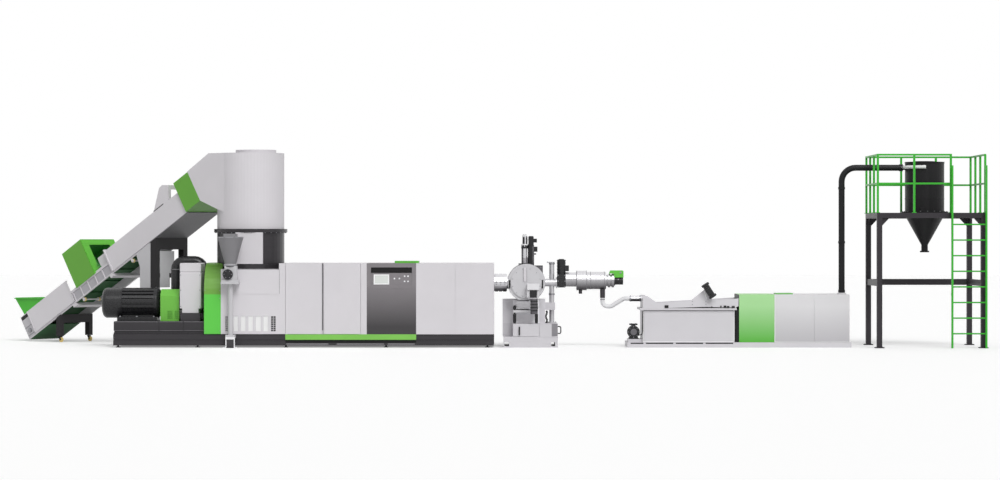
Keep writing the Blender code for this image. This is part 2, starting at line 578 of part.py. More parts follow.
valve = [cylinder((DOSE_X, DOSE_Y, 1.56), (DOSE_X, DOSE_Y, 1.61), 0.125, 32),
         box(DOSE_X - 0.11, DOSE_X + 0.13, DOSE_Y - 0.10, DOSE_Y + 0.10, 1.29, 1.57, 0.01),
         cylinder((DOSE_X - 0.04, DOSE_Y - 0.16, 1.411), (DOSE_X - 0.04, DOSE_Y, 1.411), 0.098, 24),
         box(DOSE_X - 0.17, DOSE_X + 0.16, DOSE_Y - 0.13, DOSE_Y + 0.13, 1.252, 1.30),
         box(DOSE_X - 0.18, DOSE_X + 0.17, DOSE_Y - 0.14, DOSE_Y + 0.14, 1.225, 1.26),
         cylinder((DOSE_X, DOSE_Y, 0.20), (DOSE_X, DOSE_Y, 1.24), 0.05, 24),
         box(DOSE_X - 0.09, DOSE_X + 0.09, DOSE_Y - 0.09, 0.02 - GAP, 0.19, 0.25),
         box(DOSE_X - 0.09, DOSE_X + 0.09, DOSE_Y - 0.09, DOSE_Y - 0.06, 0.0, 0.21),
         box(DOSE_X - 0.13, DOSE_X + 0.13, DOSE_Y - 0.13, DOSE_Y - 0.02, 0.0, 0.015)]
piece("dosing_valve", joined(*valve), "base_grey", line)

# Extruder: a housing with a double door, the control cabinet and the right housing.
HOUSE_LEFT = -4.129
HOUSE_RIGHT = -2.563
CONTROL_RIGHT = -1.613
HOUSE_LOW = BASE_TOP + GAP
HOUSE_TOP = 1.623
DOOR_THICK = 0.03
DOOR_CLEAR = 0.005
STRIP_LEFT = -2.678
DOOR_SPLIT = (-3.426, -3.387)
DOOR_LOW = BASE_TOP + 0.0055
FRONT_INSET = DOOR_THICK + DOOR_CLEAR
BARREL_R = 0.176

housing = joined(box(HOUSE_LEFT, HOUSE_RIGHT, FRONT_INSET, LINE_BACK, HOUSE_LOW, HOUSE_TOP),
                 box(STRIP_LEFT, HOUSE_RIGHT, 0, 0.1, HOUSE_LOW, HOUSE_TOP))
housing = cut(housing,
              box(HOUSE_LEFT + 0.02, HOUSE_RIGHT - 0.02, FRONT_INSET + 0.02, LINE_BACK - 0.02, HOUSE_LOW + 0.02,
                  HOUSE_TOP - 0.02),
              box(HOUSE_LEFT + 0.04, DOOR_SPLIT[0] - 0.03, -0.1, 0.2, HOUSE_LOW + 0.03, HOUSE_TOP - 0.03),
              box(DOOR_SPLIT[1] + 0.03, STRIP_LEFT - 0.03, -0.1, 0.2, HOUSE_LOW + 0.03, HOUSE_TOP - 0.03))
inside = [cylinder((HOUSE_LEFT + 0.01, SCREW_Y, SCREW_Z), (HOUSE_RIGHT - 0.01, SCREW_Y, SCREW_Z), 0.13, 20)]
for left in (-3.95, -3.50, -3.05):
    inside.append(cylinder((left, SCREW_Y, SCREW_Z), (left + 0.35, SCREW_Y, SCREW_Z), BARREL_R, 20))
for hinge in (HOUSE_LEFT, STRIP_LEFT - 0.035):
    inside.append(box(hinge, hinge + 0.035, 0.002, 0.06, HOUSE_LOW, DOOR_LOW - GAP))
piece("extruder_housing", joined(housing, *inside), "panel_white", line)

for side, hinge, end in (("left", HOUSE_LEFT + DOOR_CLEAR, DOOR_SPLIT[0]),
                         ("right", STRIP_LEFT - DOOR_CLEAR, DOOR_SPLIT[1])):
    pivot = empty("door_hinge_" + side, line, (hinge, 0, 0))
    reach = end - hinge
    leaf = box(min(0, reach), max(0, reach), 0, DOOR_THICK, DOOR_LOW, HOUSE_TOP)
    piece("extruder_door_" + side, leaf, "panel_white", pivot)

control = joined(box(HOUSE_RIGHT + GAP, CONTROL_RIGHT, 0, LINE_BACK, HOUSE_LOW, HOUSE_TOP),
                 box(-2.03, CONTROL_RIGHT - 0.005, 0.15, 0.75, HOUSE_TOP - 0.01, 1.665),
                 box(CONTROL_RIGHT - 0.02, -1.567, 0.15, 0.75, HOUSE_TOP + GAP, 1.665))
control = cut(control,
              box(-2.483, -1.694, -0.1, 0.05, 1.434, 1.542),
              box(-2.483, -1.694, -0.1, 0.012, 1.205, 1.44),
              box(HOUSE_RIGHT - 0.05, CONTROL_RIGHT + 0.05, -0.1, 0.004, 1.124, 1.130))
control = joined(control, box(-2.423, -2.140, 0.003, 0.03, 1.219, 1.402))
piece("control_cabinet", control, "cabinet_grey", line)

right_side = cut(box(CONTROL_RIGHT + GAP, BASE_RIGHT, 0, LINE_BACK, HOUSE_LOW, HOUSE_TOP),
                 box(-0.863, -0.857, -0.1, 0.008, 0, 2))
piece("right_housing", right_side, "panel_white", line)

piece("green_skirt", box(HOUSE_LEFT, CONTROL_RIGHT, 0, 0.02 - GAP, 0.15, BASE_TOP), "guard_green", line)

# Melt filter: a round body with its axis across the line, on two cabinets.
DRUM_X = 0.508
DRUM_Z = 1.248
FILTER_R = 0.36
DRUM_FRONT = 0.05
DRUM_BACK = 1.25
DRUM_FOOT = DRUM_Z - FILTER_R + 0.029
FILTER_BASE = 0.20
CABINET_SEAM = 0.7615
FILTER_RIGHT = 1.113
LOWER_TOP = 0.457


def drum_room():
    """Cutter that keeps pieces off the filter body."""
    return cylinder((DRUM_X, DRUM_FRONT, DRUM_Z), (DRUM_X, DRUM_BACK, DRUM_Z), FILTER_R + GAP, 64)


barrel = [cylinder((BASE_RIGHT + GAP, SCREW_Y, SCREW_Z), (0.135, SCREW_Y, SCREW_Z), BARREL_R - 0.012, 24),
          cylinder((0.12, SCREW_Y, SCREW_Z), (0.30, SCREW_Y, SCREW_Z), 0.12, 24)]
for left in (-0.10, -0.02, 0.06):
    barrel.append(cylinder((left, SCREW_Y, SCREW_Z), (left + 0.065, SCREW_Y, SCREW_Z), BARREL_R, 24))
piece("extruder_barrel", cut(joined(*barrel), drum_room()), "light_grey", line)

body = cut(cylinder((DRUM_X, DRUM_FRONT, DRUM_Z), (DRUM_X, DRUM_BACK, DRUM_Z), FILTER_R, 64),
           box(0, 1, 0, 2, 0.5, DRUM_FOOT))
grips = [cylinder((DRUM_X, 0.02, DRUM_Z), (DRUM_X, 0.06, DRUM_Z), 0.30, 48)]
for left in (0.169, 0.802):
    grips.append(box(left, left + 0.028, 0.025, 0.07, 1.138, 1.30, 0.004))
piece("filter_drum", joined(body, *grips), "panel_white", line, True)

case = joined(box(0.065, FILTER_RIGHT, 0.005, 1.35, 0, FILTER_BASE + 0.01),
              box(0.05, 0.875, 0.45, 1.35, FILTER_BASE, DRUM_FOOT - GAP),
              box(0.25, FILTER_RIGHT, FRONT_INSET, 0.95, FILTER_BASE, LOWER_TOP),
              box(CABINET_SEAM, FILTER_RIGHT, 0, 0.2, FILTER_BASE, LOWER_TOP),
              box(0.316, 0.60, 0.30, 0.46, 0.735, 0.885),
              box(0.865, 1.07, 0.56, 0.69, 0.712, 0.857))
corner = prism([(FILTER_RIGHT - 0.22, -0.1), (FILTER_RIGHT + 0.1, -0.1), (FILTER_RIGHT + 0.1, 0.22)], "z",
               FILTER_BASE + 0.015, LOWER_TOP + 0.1)
case = cut(case, corner,
           box(0.27, CABINET_SEAM - 0.02, -0.1, 0.43, FILTER_BASE + 0.02, LOWER_TOP - 0.02),
           box(0.085, 0.175, -0.1, 2, 0.025, 0.10),
           box(0.985, 1.06, -0.1, 2, 0.025, 0.10))
pull = bent([(FILTER_RIGHT - 0.01, 0.18, 0.40), (1.173, 0.18, 0.40), (1.173, 0.18, 0.266),
             (FILTER_RIGHT - 0.01, 0.18, 0.266)], 0.03, 4)
rest = box(CABINET_SEAM - 0.035, CABINET_SEAM - DOOR_CLEAR, 0.002, 0.06, FILTER_BASE, FILTER_BASE + 0.0155 - GAP)
piece("filter_cabinet", joined(case, swept(pull, 0.012, 12), rest), "panel_white", line)

pivot = empty("filter_door_hinge", line, (CABINET_SEAM - DOOR_CLEAR, 0, 0))
leaf = joined(box(0.25 - CABINET_SEAM + DOOR_CLEAR, 0, 0, DOOR_THICK, FILTER_BASE + 0.0155, LOWER_TOP - 0.003),
              box(-0.397, -0.370, -0.03, 0.01, 0.236, 0.40, 0.005))
piece("filter_door", leaf, "panel_white", pivot)

lift = []
for across in (0.283, 0.704):
    lift.append(cylinder((across, 0.24, LOWER_TOP + GAP), (across, 0.24, 0.807), 0.019, 10))
    for low, high in ((0.47, 0.64), (0.73, 0.79)):
        lift.append(cylinder((across, 0.24, low), (across, 0.24, high), 0.032, 14))
lift.append(box(0.254, 0.733, 0.19, 0.45 - GAP, 0.669, 0.715))
piece("filter_lift", joined(*lift), "dark_steel", line)

RAM_X = 0.48
RAM_Y = 0.60
RAM_MOTOR_X = 0.602
ram = [stacked((RAM_X, RAM_Y, 1.55), (RAM_X, RAM_Y, 2.18),
               ((0, 0.043), (0.56, 0.043), (0.565, 0.07), (0.62, 0.07), (0.625, 0.05), (0.95, 0.05), (0.955, 0.035),
                (1, 0.035)), 24),
       box(RAM_X - 0.062, RAM_X - 0.04, RAM_Y - 0.03, RAM_Y + 0.03, 1.58, 1.92),
       stacked((RAM_MOTOR_X, RAM_Y, 1.55), (RAM_MOTOR_X, RAM_Y, 2.146),
               ((0, 0.062), (0.70, 0.062), (0.71, 0.054), (0.97, 0.054), (1, 0.042)), 20),
       box(0.36, 0.64, 0.46, 0.74, 1.45, 1.615),
       box(0.62, 0.83, 0.48, 0.72, 1.38, 1.575)]
for low, high, reach in ((2.02, 2.095, 0.115), (1.84, 1.94, 0.125), (1.785, 1.81, 0.10)):
    ram.append(box(RAM_MOTOR_X + 0.03, RAM_MOTOR_X + reach, RAM_Y - 0.04, RAM_Y + 0.04, low, high))
piece("filter_ram", cut(joined(*ram), drum_room()), "stainless", line)

HANG_X = 0.655
HANG_Y = -0.09
hanging = [box(0.518, 0.755, -0.17, 0.02 - GAP, 1.109, 1.232, 0.008),
           box(0.576, 0.705, -0.15, -0.02, 0.955, 1.12),
           box(0.514, 0.570, -0.13, -0.03, 0.962, 1.12),
           box(0.711, 0.757, -0.13, -0.03, 0.962, 1.12),
           box(0.535, 0.725, -0.145, -0.035, 0.938, 0.960),
           cylinder((HANG_X, HANG_Y, 0.652), (HANG_X, HANG_Y, 0.965), 0.070, 24)]
hanging = cut(joined(*hanging), cylinder((DRUM_X, 0.0197, DRUM_Z), (DRUM_X, 0.06, DRUM_Z), 0.3003, 48))
piece("filter_motor", hanging, "motor_dark", line)

STAND_X = 1.008
melt = [cylinder((0.80, SCREW_Y, SCREW_Z), (1.10, SCREW_Y, SCREW_Z), 0.075, 18),
        cylinder((1.085, SCREW_Y, SCREW_Z), (1.11 - GAP, SCREW_Y, SCREW_Z), 0.11, 18),
        cylinder((STAND_X, SCREW_Y, LOWER_TOP + GAP), (STAND_X, SCREW_Y, 1.627), 0.05, 18),
        cylinder((STAND_X, SCREW_Y, LOWER_TOP + GAP), (STAND_X, SCREW_Y, 0.475), 0.09, 18)]
piece("melt_pipe", cut(joined(*melt), drum_room()), "light_grey", line)

# Pelletizer: gear motor, round body along the screw's axis, cutter motor.
PELLET_LEFT = 1.277
PELLET_RIGHT = 2.218
PELLET_Z = 1.28
pump = [box(1.11, PELLET_LEFT - GAP, 0.60, 0.90, 1.146, 1.40, 0.01),
        cylinder((1.1935, SCREW_Y, 1.39), (1.1935, SCREW_Y, 1.685), 0.083, 24),
        box(1.25, 1.341, SCREW_Y - 0.06, SCREW_Y + 0.04, 1.461, 1.574, 0.006)]
piece("pelletizer_motor", joined(*pump), "motor_dark", line)

CLAMP_R = 0.135
pellet = [cylinder((PELLET_LEFT, SCREW_Y, 1.30), (1.52, SCREW_Y, 1.30), 0.14, 24),
          cylinder((1.493, SCREW_Y, PELLET_Z), (1.685, SCREW_Y, PELLET_Z), 0.192, 28),
          stacked((1.65, SCREW_Y, PELLET_Z), (PELLET_RIGHT, SCREW_Y, PELLET_Z),
                  ((0, 0.170), (0.725, 0.170), (0.74, 0.11), (0.78, 0.11), (0.79, CLAMP_R), (0.87, CLAMP_R),
                   (0.88, 0.115), (0.91, 0.115), (0.92, CLAMP_R), (1, CLAMP_R)), 28),
          cylinder((1.566, SCREW_Y, 1.023), (1.566, SCREW_Y, 1.2), 0.035, 12),
          cylinder((1.9965, SCREW_Y, 0.945), (1.9965, SCREW_Y, 1.2), 0.05, 16)]
piece("pelletizer_body", joined(*pellet), "stainless", line)

COVER_FOOT = PELLET_Z + CLAMP_R + 0.003
cutter = [cylinder((PELLET_RIGHT + GAP, SCREW_Y, PELLET_Z), (2.395, SCREW_Y, PELLET_Z), 0.081, 24),
          cylinder((PELLET_RIGHT + GAP, SCREW_Y, PELLET_Z), (2.24, SCREW_Y, PELLET_Z), 0.10, 24),
          prism([(2.121, COVER_FOOT), (2.146, 1.477), (2.385, 1.477), (2.402, 1.458), (2.402, 1.34),
                 (PELLET_RIGHT + GAP, 1.34), (PELLET_RIGHT + GAP, COVER_FOOT)], "y", 0.66, 0.84)]
piece("cutter_motor", joined(*cutter), "motor_dark", line)

# Dewatering: water tank with its sieve, a green cabinet and a blower cabinet on one base.
WATER_BACK = 1.2
SKID_TOP = 0.10
TANK_LEFT = 2.746
TANK_RIGHT = 4.513
RIM_TOP = 0.759
skid = [box(2.45, 6.762, 0.0, WATER_BACK, 0.0, SKID_TOP)]
slots = []
for left, right in ((2.513, 2.758), (2.806, 3.333), (3.381, 3.908), (3.954, 4.485)):
    slots.append(box(left, right, -0.1, 0.03, 0.070, 0.094))
water = cut(joined(box(TANK_LEFT, TANK_RIGHT, 0.04, WATER_BACK - 0.04, 0.09, 0.74),
                   box(2.688, 4.554, 0.0, WATER_BACK, 0.721, RIM_TOP)),
            box(TANK_LEFT + 0.02, TANK_RIGHT - 0.02, 0.06, WATER_BACK - 0.06, 0.14, 1.0))
step = box(2.47, TANK_LEFT + 0.01, 0.10, 0.70, 0.09, 0.16)
piece("water_tank", joined(cut(skid[0], *slots), water, step), "light_grey", line)

sieve = cut(prism([(2.746, 0.998), (2.833, 0.992), (3.033, 0.854), (4.587, 0.944), (4.587, 0.80),
                   (4.52, RIM_TOP + GAP), (2.746, RIM_TOP + GAP)], "y", 0.0, WATER_BACK - 0.10),
            prism([(2.70, 1.1), (2.80, 1.1), (3.0, 1.05), (4.8, 1.15), (4.8, 0.90), (3.02, 0.80), (2.78, 0.83)],
                  "y", 0.02, WATER_BACK - 0.12))
mount = prism([(3.62, 0.80), (3.662, 0.902), (3.90, 1.09), (3.93, 1.075), (3.981, 0.896), (4.0, 0.80)],
              "y", 0.0, 0.02)
bridge = box(3.60, 4.02, 0.0, 0.02, 0.79, 0.90)
inlet = [cylinder((2.521, SCREW_Y, 0.93), (2.771, SCREW_Y, 0.93), 0.055, 24)]
piece("sieve_box", joined(sieve, bridge, mount, *inlet), "stainless", line)

LEAN = math.radians(60)
shaker = [cylinder((0, 0, -0.166), (0, 0, 0.166), 0.072, 24),
          cylinder((0, 0, -0.10), (0, 0, 0.10), 0.082, 24),
          box(-0.06, 0.06, 0.05, 0.10, -0.10, 0.10)]
shaker = moved(joined(*shaker), (4.012, -0.10 - GAP, 1.109), math.radians(30), "Y")
piece("vibration_motor", shaker, "motor_dark", line)

PUMP_X = 2.577
PUMP_Z = 0.296
pump_parts = [cylinder((PUMP_X, 0.17, PUMP_Z), (PUMP_X, 0.42, PUMP_Z), 0.118, 32),
              cylinder((PUMP_X, 0.14, PUMP_Z), (PUMP_X, 0.20, PUMP_Z), 0.085, 24),
              prism([(PUMP_X - 0.105, 0.16 + GAP), (PUMP_X + 0.105, 0.16 + GAP), (PUMP_X + 0.06, 0.24),
                     (PUMP_X - 0.06, 0.24)], "y", 0.20, 0.40),
              box(PUMP_X - 0.04, PUMP_X + 0.04, 0.24, 0.36, 0.40, 0.43),
              box(PUMP_X - 0.078, PUMP_X + 0.078, 0.22, 0.38, 0.425, 0.455)]
piece("water_pump", joined(*pump_parts), "motor_dark", line)

DRY_LEFT = 4.596
BLOWER_LEFT = 5.279
BLOWER_RIGHT = 6.723
BLOWER_TOP = 1.021
piece("dryer_cabinet", joined(box(DRY_LEFT, BLOWER_LEFT - GAP, 0.0, WATER_BACK, SKID_TOP + GAP, BLOWER_TOP, 0.004),
                              box(4.56, DRY_LEFT + 0.01, 0.05, WATER_BACK - 0.05, SKID_TOP + GAP, 0.715)),
      "guard_green", line)

PIPE_X = 6.635
PIPE_Y = 0.60
PIPE_R = 0.06
blower = joined(box(BLOWER_LEFT, BLOWER_RIGHT, 0.0, WATER_BACK, SKID_TOP + GAP, BLOWER_TOP, 0.004),
                box(5.313, 5.644, 0.10, 0.60, BLOWER_TOP - 0.01, 1.046),
                cylinder((PIPE_X, PIPE_Y, BLOWER_TOP - 0.01), (PIPE_X, PIPE_Y, 1.045), 0.082, 24))
piece("blower_cabinet", cut(blower, box(6.041, 6.047, -0.1, 0.008, 0, 2)), "panel_white", line)

drop_path = bent([(1.9965, SCREW_Y, 0.945 - GAP), (1.9965, SCREW_Y, 0.785), (2.16, SCREW_Y, 0.775),
                  (2.41, SCREW_Y, 0.93), (2.521 - GAP, SCREW_Y, 0.93)], 0.09, 4)
piece("slurry_pipe", swept(drop_path, 0.0425, 14), "hose_white", line, True)

# Silo on its platform, fed by the conveying pipe.
SILO_X = 8.246
SILO_Y = 0.60
SILO_R = 0.38
SILO_WALL = 0.012
SILO_TOP = 3.572
DECK_TOP = 2.59
DECK_PLATE = DECK_TOP - 0.002
CONE_LOW = 1.975
OUTLET_LOW = 1.83
OUTLET_R = 0.064
CONE_R = SILO_R - 0.024
SILO_HOLE = SILO_R + 0.02
RING_SEAT = SILO_R + 0.08
pipe_path = bent([(PIPE_X, PIPE_Y, 1.045 + GAP), (PIPE_X, PIPE_Y, 3.472), (7.794, PIPE_Y, 3.472)], 0.27, 8)
piece("conveying_pipe", swept(pipe_path, PIPE_R, 18), "motor_dark", line, True)

INLET_Z = 3.472
silo = turned([(SILO_R - SILO_WALL, SILO_TOP), (SILO_R, SILO_TOP), (SILO_R, 2.62), (RING_SEAT, 2.62),
               (RING_SEAT, DECK_PLATE + GAP), (SILO_R - 0.004, DECK_PLATE + GAP), (CONE_R, 2.50),
               (OUTLET_R, CONE_LOW), (OUTLET_R, OUTLET_LOW + 0.03), (0.09, OUTLET_LOW + 0.03),
               (0.09, OUTLET_LOW), (OUTLET_R - SILO_WALL, OUTLET_LOW), (OUTLET_R - SILO_WALL, CONE_LOW + 0.003),
               (CONE_R - SILO_WALL, 2.505), (SILO_R - SILO_WALL, 2.60)], (SILO_X, SILO_Y, 0), 40)
inlet = [cylinder((7.794 + GAP, PIPE_Y, INLET_Z), (SILO_X - SILO_R + 0.008, PIPE_Y, INLET_Z), 0.045, 16),
         cylinder((7.794 + GAP, PIPE_Y, INLET_Z), (7.82, PIPE_Y, INLET_Z), 0.072, 16),
         box(SILO_X - 0.134, SILO_X - 0.058, SILO_Y - SILO_R - 0.02, SILO_Y - SILO_R + 0.02, 2.62, 2.71, 0.004)]
piece("silo_shell", joined(silo, *inlet), "dark_steel", line, True)

cap = joined(cylinder((SILO_X, SILO_Y, SILO_TOP + GAP), (SILO_X, SILO_Y, SILO_TOP + 0.012), SILO_R + 0.008, 40),
             cylinder((SILO_X - 0.014, SILO_Y, SILO_TOP), (SILO_X - 0.014, SILO_Y, 3.597), 0.213, 32))
piece("silo_lid", cap, "dark_steel", line, True)

# Platform: square posts, a deck on beams, handrails and a ladder.
POST = 0.10
POST_LEFT = 7.26
POST_RIGHT = 9.25
POST_FRONT = -0.30
POST_REAR = 1.50
BEAM_LOW = 2.49
MID_LOW = 1.184
MID_HIGH = 1.302
half = POST / 2
stand = []
for x in (POST_LEFT, POST_RIGHT):
    for y in (POST_FRONT, POST_REAR):
        stand.append(box(x - half, x + half, y - half, y + half, 0, BEAM_LOW + 0.02))
        stand.append(box(x - 0.09, x + 0.09, y - 0.09, y + 0.09, 0, 0.015))
    stand.append(box(x - half, x + half, POST_FRONT - half, POST_REAR + half, BEAM_LOW, DECK_TOP))
    stand.append(box(x - 0.03, x + 0.03, POST_FRONT, POST_REAR, MID_LOW, MID_HIGH))
for y in (POST_FRONT, POST_REAR):
    stand.append(box(POST_LEFT - half, POST_RIGHT + half, y - half, y + half, BEAM_LOW, DECK_TOP))
stand.append(box(POST_LEFT, POST_RIGHT, POST_REAR - 0.03, POST_REAR + 0.03, MID_LOW, MID_HIGH))
stand.append(box(POST_LEFT, POST_RIGHT, POST_FRONT, POST_REAR, DECK_TOP - 0.02, DECK_PLATE))
for y in (SILO_Y - SILO_HOLE - 0.02, SILO_Y + SILO_HOLE + 0.02):
    stand.append(box(POST_LEFT, POST_RIGHT, y - 0.03, y + 0.03, BEAM_LOW + 0.01, DECK_TOP - 0.003))
for x, way in ((POST_LEFT, 1), (POST_RIGHT, -1)):
    for y in (POST_FRONT, POST_REAR):
        corner = x + way * (half - 0.01)
        stand.append(prism([(corner, BEAM_LOW + 0.01), (corner + way * 0.16, BEAM_LOW + 0.01),
                            (corner, BEAM_LOW - 0.16)], "y", y - 0.008, y + 0.008))
for y, way in ((POST_FRONT, 1), (POST_REAR, -1)):
    for x in (POST_LEFT, POST_RIGHT):
        corner = y + way * (half - 0.01)
        stand.append(prism([(corner, BEAM_LOW + 0.01), (corner + way * 0.16, BEAM_LOW + 0.01),
                            (corner, BEAM_LOW - 0.16)], "x", x - 0.008, x + 0.008))
hole = cylinder((SILO_X, SILO_Y, DECK_TOP - 0.05), (SILO_X, SILO_Y, DECK_TOP + 0.05), SILO_HOLE, 64)
piece("platform_frame", cut(joined(*stand), hole), "base_grey", line)

RAIL_TOP = 3.70
RAIL_MID = 3.15
POST_HALF = 0.02
RAIL_HALF = 0.0175
RAIL_LEFT = 7.226
RAIL_RIGHT = 9.28
RAIL_FRONT = -0.33
RAIL_REAR = 1.53
GATE_X = 8.623
rails = []


def rail_post(x, y):
    return [box(x - POST_HALF, x + POST_HALF, y - POST_HALF, y + POST_HALF, DECK_TOP + GAP, RAIL_TOP),
            box(x - 0.04, x + 0.04, y - 0.022, y + 0.022, DECK_TOP + GAP, DECK_TOP + 0.012)]


for share in range(4):
    along = RAIL_LEFT + (RAIL_RIGHT - RAIL_LEFT) * share / 3
    across = RAIL_FRONT + (RAIL_REAR - RAIL_FRONT) * share / 3
    rails += rail_post(along, RAIL_REAR)
    if share < 3:
        rails += rail_post(RAIL_LEFT, across)
        rails += rail_post(RAIL_RIGHT, across)
rails += rail_post(7.922, RAIL_FRONT)
rails += rail_post(GATE_X, RAIL_FRONT)
for height in (RAIL_MID, RAIL_TOP):
    for y, end in ((RAIL_FRONT, GATE_X), (RAIL_REAR, RAIL_RIGHT)):
        rails.append(box(RAIL_LEFT - POST_HALF, end + POST_HALF, y - RAIL_HALF, y + RAIL_HALF,
                         height - RAIL_HALF, height + RAIL_HALF))
    for x in (RAIL_LEFT, RAIL_RIGHT):
        rails.append(box(x - RAIL_HALF, x + RAIL_HALF, RAIL_FRONT, RAIL_REAR, height - RAIL_HALF, height + 0.016))
piece("handrail", joined(*rails), "rail_green", line)

LADDER_Y = -0.45
LADDER_LEFT = 8.634
LADDER_RIGHT = 9.284
ladder = []
for x in (LADDER_LEFT, LADDER_RIGHT):
    ladder.append(box(x - 0.0175, x + 0.0175, LADDER_Y - 0.03, LADDER_Y + 0.03, 0.0, 3.493))
    for height in (1.0, 2.50):
        reach = POST_FRONT - half - GAP
        ladder.append(box(x - 0.012, x + 0.012, LADDER_Y, reach, height, height + 0.06))
for k in range(8):
    height = 0.28 + 0.298 * k
    ladder.append(cylinder((LADDER_LEFT, LADDER_Y, height), (LADDER_RIGHT, LADDER_Y, height), 0.015, 8))
piece("ladder", joined(*ladder), "rail_green", line)

# The part's origin is the middle of its box, on the floor.
bpy.context.view_layer.update()
points = [thing.matrix_world @ vertex.co for thing in bpy.data.objects if thing.type == "MESH"
          for vertex in thing.data.vertices]
for axis in (0, 1):
    line.location[axis] = -(min(point[axis] for point in points) + max(point[axis] for point in points)) / 2
bpy.context.view_layer.update()
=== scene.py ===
# Looks of the plastic recycling line: finishes, small fittings, floor, light and camera.
import math
import bmesh
import bpy
from mathutils import Matrix, Vector


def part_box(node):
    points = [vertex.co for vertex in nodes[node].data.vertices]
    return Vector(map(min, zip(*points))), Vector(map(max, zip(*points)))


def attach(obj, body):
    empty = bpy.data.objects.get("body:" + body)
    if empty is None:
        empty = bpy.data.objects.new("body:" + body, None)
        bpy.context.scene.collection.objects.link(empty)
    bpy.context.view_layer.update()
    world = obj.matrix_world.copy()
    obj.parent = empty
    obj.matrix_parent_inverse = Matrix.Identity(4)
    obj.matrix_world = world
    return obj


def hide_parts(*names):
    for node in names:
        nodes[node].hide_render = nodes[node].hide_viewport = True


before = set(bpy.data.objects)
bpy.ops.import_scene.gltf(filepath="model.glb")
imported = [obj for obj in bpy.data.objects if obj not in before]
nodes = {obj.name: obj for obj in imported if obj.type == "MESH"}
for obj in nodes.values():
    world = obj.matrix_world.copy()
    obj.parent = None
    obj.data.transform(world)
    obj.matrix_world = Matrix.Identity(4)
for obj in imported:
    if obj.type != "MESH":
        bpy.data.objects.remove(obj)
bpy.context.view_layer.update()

# The line's own coordinates, as in the model's source: X along the line, Y away from its front and Z up.
# The base frame's front left corner says where they start in the frame.
BASE_LEFT = -7.442
BASE_FRONT = 0.02
DATUM = Vector((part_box("base_frame")[0].x - BASE_LEFT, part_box("base_frame")[0].y - BASE_FRONT, 0))
TOWER_X = -4.868
TOWER_Y = 0.95
TOWER = Vector((TOWER_X, TOWER_Y, 0))
TURN = math.radians(-36.0)
SLOPE = math.radians(30.6)
DECK_HEAD = (-1.121, 0, 2.620)

# RUN starts at the tower's axis and lies level along the conveyor. DECK follows its slope.
LINE = Matrix.Translation(DATUM)
RUN = LINE @ Matrix.Translation(TOWER) @ Matrix.Rotation(TURN, 4, "Z")
DECK = RUN @ Matrix.Translation(DECK_HEAD) @ Matrix.Rotation(-SLOPE, 4, "Y")


def srgb(red, green, blue):
    """Linear colour from the 0 to 255 values seen in the photograph."""
    def linear(value):
        value /= 255
        return value / 12.92 if value <= 0.04045 else ((value + 0.055) / 1.055) ** 2.4
    return (linear(red), linear(green), linear(blue))


def mixed(tree, kind, factor, before, after):
    """Socket that goes from before to after where factor is 1. Each is a socket or a plain value."""
    blend = tree.nodes.new("ShaderNodeMix")
    blend.data_type = kind
    first, out = (6, 2) if kind == "RGBA" else (2, 0)
    tree.links.new(factor, blend.inputs["Factor"])
    for index, given in ((first, before), (first + 1, after)):
        if isinstance(given, bpy.types.NodeSocket):
            tree.links.new(given, blend.inputs[index])
        else:
            blend.inputs[index].default_value = (*given, 1) if kind == "RGBA" else given
    return blend.outputs[out]


def within(tree, place, low, high, space):
    """Socket that is 1 in a box of a space's coordinates and 0 outside it."""
    local = tree.nodes.new("ShaderNodeMapping")
    shift, turn, size = space.inverted().decompose()
    local.inputs["Location"].default_value = shift
    local.inputs["Rotation"].default_value = turn.to_euler()
    tree.links.new(place.outputs["Object"], local.inputs["Vector"])
    away = tree.nodes.new("ShaderNodeVectorMath")
    away.operation = "SUBTRACT"
    away.inputs[1].default_value = (Vector(low) + Vector(high)) / 2
    tree.links.new(local.outputs["Vector"], away.inputs[0])
    reach = tree.nodes.new("ShaderNodeVectorMath")
    reach.operation = "ABSOLUTE"
    tree.links.new(away.outputs["Vector"], reach.inputs[0])
    room = tree.nodes.new("ShaderNodeVectorMath")
    room.operation = "SUBTRACT"
    room.inputs[0].default_value = (Vector(high) - Vector(low)) / 2
    tree.links.new(reach.outputs["Vector"], room.inputs[1])
    split = tree.nodes.new("ShaderNodeSeparateXYZ")
    tree.links.new(room.outputs["Vector"], split.inputs["Vector"])
    found = split.outputs["X"]
    for axis in ("Y", "Z"):
        least = tree.nodes.new("ShaderNodeMath")
        least.operation = "MINIMUM"
        tree.links.new(found, least.inputs[0])
        tree.links.new(split.outputs[axis], least.inputs[1])
        found = least.outputs["Value"]
    mask = tree.nodes.new("ShaderNodeMath")
    mask.operation = "GREATER_THAN"
    mask.inputs[1].default_value = 0.0
    tree.links.new(found, mask.inputs[0])
    return mask.outputs["Value"]


